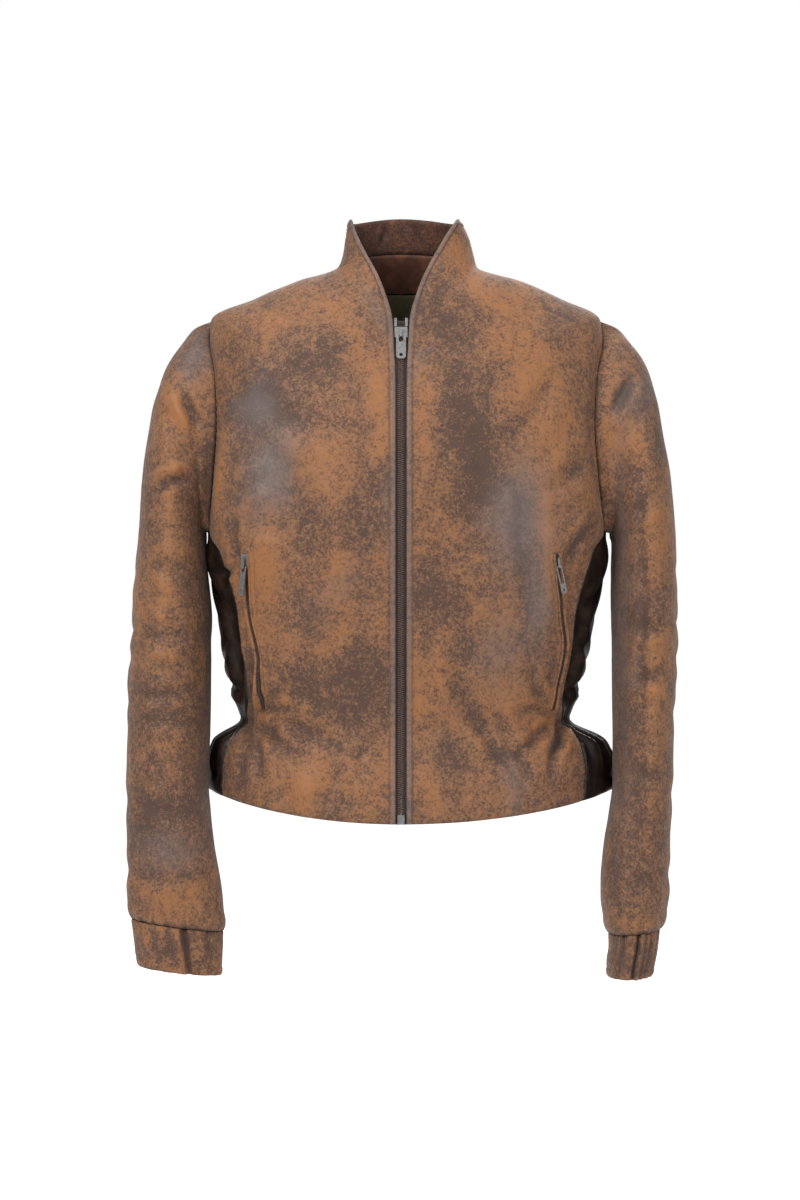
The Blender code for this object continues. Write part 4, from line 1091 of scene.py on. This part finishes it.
class Shader:
    """A material's nodes, with short ways to add the kinds that repeat."""

    def __init__(self, name, **constants):
        self.material = bpy.data.materials.new(name)
        self.material.use_nodes = True
        self.tree = self.material.node_tree
        self.end = self.tree.nodes["Principled BSDF"]
        for key, constant in constants.items():
            self.end.inputs[key.replace("_", " ")].default_value = constant
        self.place = self.add("TexCoord").outputs["Object"]

    def add(self, kind, inputs=None, **settings):
        return node(self.tree, kind, inputs, **settings)

    def math(self, operation, *entries, clamp=False):
        return self.add("Math", dict(enumerate(entries)), operation=operation, use_clamp=clamp).outputs[0]

    def noise(self, scale, detail=3.0, roughness=0.6, distortion=0.0, stretch=None):
        place = self.place
        if stretch:
            place = self.add("Mapping", {"Vector": place, "Scale": stretch}).outputs[0]
        inputs = {
            "Vector": place, "Scale": scale, "Detail": detail, "Roughness": roughness, "Distortion": distortion
        }
        return self.add("TexNoise", inputs).outputs["Fac"]

    def number(self, name):
        return self.add("Attribute", attribute_name=name).outputs["Fac"]

    def spread(self, entry, low, high, to_low=0.0, to_high=1.0):
        inputs = {"Value": entry, "From Min": low, "From Max": high, "To Min": to_low, "To Max": to_high}
        return self.add("MapRange", inputs, interpolation_type="SMOOTHSTEP").outputs[0]

    def mix(self, share, first, second, blend="MIX"):
        made = self.add("Mix", data_type="RGBA", blend_type=blend)
        for key, entry in ((0, share), (6, first), (7, second)):
            if isinstance(entry, bpy.types.NodeSocket):
                self.tree.links.new(entry, made.inputs[key])
            else:
                made.inputs[key].default_value = entry if key == 0 else (*entry, 1)
        return made.outputs[2]

    def bump(self, height, strength, distance):
        inputs = {"Height": height, "Strength": strength, "Distance": distance}
        if self.end.inputs["Normal"].links:
            inputs["Normal"] = self.end.inputs["Normal"].links[0].from_socket
        self.set("Normal", self.add("Bump", inputs).outputs["Normal"])

    def set(self, key, socket):
        self.tree.links.new(socket, self.end.inputs[key])


def linear(red, green, blue):
    """A colour given as it looks on a screen, from 0 to 255, as the shader's numbers."""
    parts = (red, green, blue)
    return tuple(((part / 255 + 0.055) / 1.055) ** 2.4 if part > 10 else part / 255 / 12.92 for part in parts)


def leather_material(name, tan, orange, dark, painted_sheen, shine=0.5):
    """Rubbed leather: tan where it is worn, with dark specks that close up into patches. Its tone carries painted
    crease and seam shade as well as wear, and its grey is painted sheen.
    """
    shader = Shader(name, Specular_IOR_Level=0.38, Sheen_Weight=0.12, Sheen_Roughness=0.5)
    tone_and_shade, sheen = shader.number("tone_and_shade"), shader.number("painted_sheen")
    large, middle = shader.noise(11, 3), shader.noise(52, 4, 0.62, 0.3)
    wear_and_shade = shader.math("MULTIPLY_ADD", tone_and_shade, 0.62, shader.math("MULTIPLY_ADD", large, 1.1, -0.55))
    wear_and_shade = shader.math("ADD", wear_and_shade, shader.math("MULTIPLY_ADD", middle, 1.5, -0.75))
    speck, small = shader.noise(390, 4, 0.7, 0.4), shader.noise(135, 4, 0.65, 0.3)
    fine = shader.noise(900, 3, 0.6)
    grain = shader.math("MULTIPLY_ADD", small, 0.28, shader.math("MULTIPLY", speck, 0.52))
    grain = shader.math("MULTIPLY_ADD", fine, 0.20, grain)
    level = shader.math("MULTIPLY_ADD", wear_and_shade, 0.11, grain)
    darkness = shader.spread(level, 0.40, 0.59, 1.0, 0.0)
    base = shader.mix(shader.spread(wear_and_shade, -0.5, 0.9), tan, orange)
    base = shader.mix(shader.spread(fine, 0.35, 0.65, 0.0, 0.3), base, tuple(part * 0.7 for part in tan))
    colour = shader.mix(shader.math("MULTIPLY", darkness, 0.88), base, dark)
    # Painted sheen: the grey highlight colour is mixed in where the sheen attribute is high.
    smooth = shader.math("MULTIPLY", sheen, shader.spread(grain, 0.38, 0.62, 0.5, 0.85), clamp=True)
    colour = shader.mix(smooth, colour, painted_sheen)
    shader.set("Base Color", colour)
    rough = shader.math("MULTIPLY_ADD", darkness, 0.14, shine)
    rough = shader.math("MULTIPLY_ADD", sheen, -0.14, rough)
    shader.set("Roughness", shader.math("MULTIPLY_ADD", fine, 0.08, rough, clamp=True))
    pores = shader.add("TexVoronoi", {"Vector": shader.place, "Scale": 950.0, "Randomness": 1.0}).outputs["Distance"]
    shader.bump(pores, 0.22, 0.25 * MM)
    shader.bump(grain, 0.5, 0.9 * MM)
    shader.bump(middle, 0.35, 2.2 * MM)
    return shader.material


def plain_leather_material(name, colour, pale, roughness):
    """Plain dark leather: faint mottling and a soft gloss. On the side panels its darkness is painted shade."""
    shader = Shader(name, Specular_IOR_Level=0.45)
    tone_and_shade = shader.number("tone_and_shade")
    mottle = shader.math("MULTIPLY_ADD", tone_and_shade, 0.12, shader.noise(60, 5, 0.65, 0.4))
    fine = shader.noise(420, 4, 0.65)
    shader.set("Base Color", shader.mix(shader.spread(mottle, 0.42, 0.66), colour, pale))
    shader.set("Roughness", shader.math("MULTIPLY_ADD", fine, 0.2, roughness - 0.1))
    pores = shader.add("TexVoronoi", {"Vector": shader.place, "Scale": 900.0}).outputs["Distance"]
    shader.bump(pores, 0.25, 0.25 * MM)
    shader.bump(shader.noise(38, 5, 0.6), 0.45, 2.5 * MM)
    return shader.material


def weave_material(name, colour, pale, threads, bump=0.5, slant=0.0):
    """Cloth of two sets of threads, as many to the metre as given. A slant makes a twill."""
    shader = Shader(name, Roughness=0.82, Sheen_Weight=0.2, Specular_IOR_Level=0.25)
    place = shader.add("Mapping", {"Vector": shader.place, "Rotation": (0, slant, 0)}).outputs[0]
    waves = []
    for direction in ("X", "Z"):
        inputs = {"Vector": place, "Scale": threads / 6.2, "Distortion": 0.4, "Detail": 1.0}
        waves.append(shader.add("TexWave", inputs, bands_direction=direction).outputs["Fac"])
    height = shader.math("MAXIMUM", *waves)
    uneven = shader.noise(34, 4, 0.6)
    share = shader.math("MULTIPLY_ADD", height, 0.5, shader.math("MULTIPLY", uneven, 0.6))
    shader.set("Base Color", shader.mix(shader.spread(share, 0.2, 0.8), colour, pale))
    shader.bump(height, bump, 0.3 * MM)
    return shader.material


def metal_material(name, colour, tarnish, roughness, scratch=0.25):
    """Metal with scratches and a little tarnish where fingers don't rub it."""
    shader = Shader(name, Metallic=1.0)
    cloud = shader.noise(420, 4, 0.6)
    lines = shader.noise(900, 3, 0.7, 0.0, (1, 1, 0.12))
    shader.set("Base Color", shader.mix(shader.spread(cloud, 0.45, 0.75, 0.0, 0.7), colour, tarnish))
    shader.set("Roughness", shader.math("MULTIPLY_ADD", lines, scratch, roughness, clamp=True))
    shader.bump(lines, 0.12, 0.08 * MM)
    return shader.material


def thread_material():
    shader = Shader("thread", Roughness=0.7, Sheen_Weight=0.2)
    twist = shader.noise(1800, 2, 0.5)
    shader.set("Base Color", shader.mix(shader.spread(twist, 0.35, 0.65), linear(96, 66, 46), linear(142, 104, 76)))
    shader.bump(twist, 0.4, 0.1 * MM)
    return shader.material


def floor_material():
    shader = Shader("floor", Roughness=0.9, Specular_IOR_Level=0.1)
    shader.set("Base Color", shader.mix(shader.noise(3, 2), (0.90, 0.90, 0.90), (0.93, 0.93, 0.93)))
    seen = shader.add("LightPath").outputs["Is Camera Ray"]
    shader.end.inputs["Emission Color"].default_value = (1, 1, 1, 1)
    shader.set("Emission Strength", shader.math("MULTIPLY", seen, 0.75))
    return shader.material


# ---- stage ----


def light(name, place, target, size, power, colour=(1, 1, 1)):
    data = bpy.data.lights.new(name, "AREA")
    data.shape = "RECTANGLE"
    data.size, data.size_y = size
    data.energy = power
    data.color = colour
    lamp = bpy.data.objects.new(name, data)
    lamp.location = place
    aim = np.array(target) - np.array(place)
    pitch = math.atan2(math.hypot(aim[0], aim[1]), -aim[2])
    lamp.rotation_euler = (pitch, 0, math.atan2(-aim[0], aim[1]))
    bpy.context.scene.collection.objects.link(lamp)


def stage():
    camera = bpy.data.objects.new("camera", bpy.data.cameras.new("camera"))
    camera.data.lens = 85
    camera.data.sensor_width = 36
    camera.location = (-0.001, -CAMERA_AWAY, CAMERA_HEIGHT)
    camera.rotation_euler = (math.pi / 2, 0, 0)
    bpy.context.scene.collection.objects.link(camera)
    bpy.context.scene.camera = camera
    corners = np.array([(x * FLOOR_HALF, y * FLOOR_HALF, FLOOR) for x, y in ((-1, -1), (1, -1), (1, 1), (-1, 1))])
    floor = add_piece("floor", corners, np.array([(0, 1, 2, 3)]), (floor_material(),))
    world = bpy.data.worlds.new("studio")
    bpy.context.scene.world = world
    world.use_nodes = True
    tree = world.node_tree
    background = tree.nodes["Background"]
    seen = node(tree, "LightPath").outputs["Is Camera Ray"]
    strength = node(tree, "MapRange", {"Value": seen, "To Min": 0.36, "To Max": 1.0})
    tree.links.new(strength.outputs[0], background.inputs["Strength"])
    background.inputs["Color"].default_value = (1, 1, 1, 1)
    middle = (0, 0, -0.35)
    bpy.context.scene.view_settings.view_transform = "Standard"
    light("key", (-1.5, -2.1, 1.3), middle, (1.0, 1.0), 44)
    light("fill", (1.6, -2.3, 0.8), middle, (1.6, 1.6), 24)
    light("back light", (0.4, 2.8, 1.4), middle, (2.4, 2.4), 40)
    light("top", (0, -0.1, 2.2), middle, (1.6, 1.6), 22)


# ---- the jacket ----


def carried_over(metal):
    """The zips' hard pieces keep the model's shapes."""
    names = ["front_slider", "front_pull", "bottom_box", "top_stop_left", "top_stop_right"]
    names += [f"pocket_{kind}_{side}" for kind in ("slider", "pull") for side in ("left", "right")]
    for name in names:
        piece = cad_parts[name]
        piece.data.materials.clear()
        piece.data.materials.append(metal)


def jacket():
    tan, orange, dark, painted_sheen = linear(150, 106, 74), linear(164, 108, 62), linear(70, 52, 46), linear(112, 102, 100)
    leather = leather_material("rubbed leather", tan, orange, dark, painted_sheen)
    # A darker copy of the rubbed leather for the inner collar: painted shade.
    inside = leather_material(
        "collar leather", linear(118, 74, 50), linear(146, 90, 52), linear(56, 36, 32), linear(96, 80, 72), 0.55
    )
    # Near-black side leather: painted shade on what is the same leather as the rest.
    deep = plain_leather_material("side leather in painted shade", linear(24, 17, 14), linear(52, 36, 28), 0.42)
    facing = plain_leather_material("facing leather", linear(84, 50, 36), linear(116, 70, 46), 0.6)
    lining = weave_material("olive twill", linear(84, 78, 56), linear(112, 104, 78), 900, slant=0.785)
    reverse = weave_material("dark lining", linear(46, 38, 30), linear(66, 56, 44), 900, slant=0.785)
    tape = weave_material("zip tape", linear(34, 26, 24), linear(60, 48, 44), 1600)
    metal = metal_material("nickel", (0.34, 0.335, 0.33), (0.14, 0.135, 0.13), 0.3)
    brass = metal_material("dulled teeth", linear(112, 94, 88), linear(66, 52, 48), 0.38)
    thread = thread_material()
    for side in (1, -1):
        front_panel(side, leather, reverse, thread)
        side_panel(side, deep, reverse)
        sleeve(side, leather, reverse)
        cuff(side, leather, reverse)
        pocket_zip(side, leather, tape, brass, thread)
    back_panel(leather, reverse)
    inner_layers(inside, facing, lining)
    front_zip(tape, brass)
    carried_over(metal)


stage()
jacket()
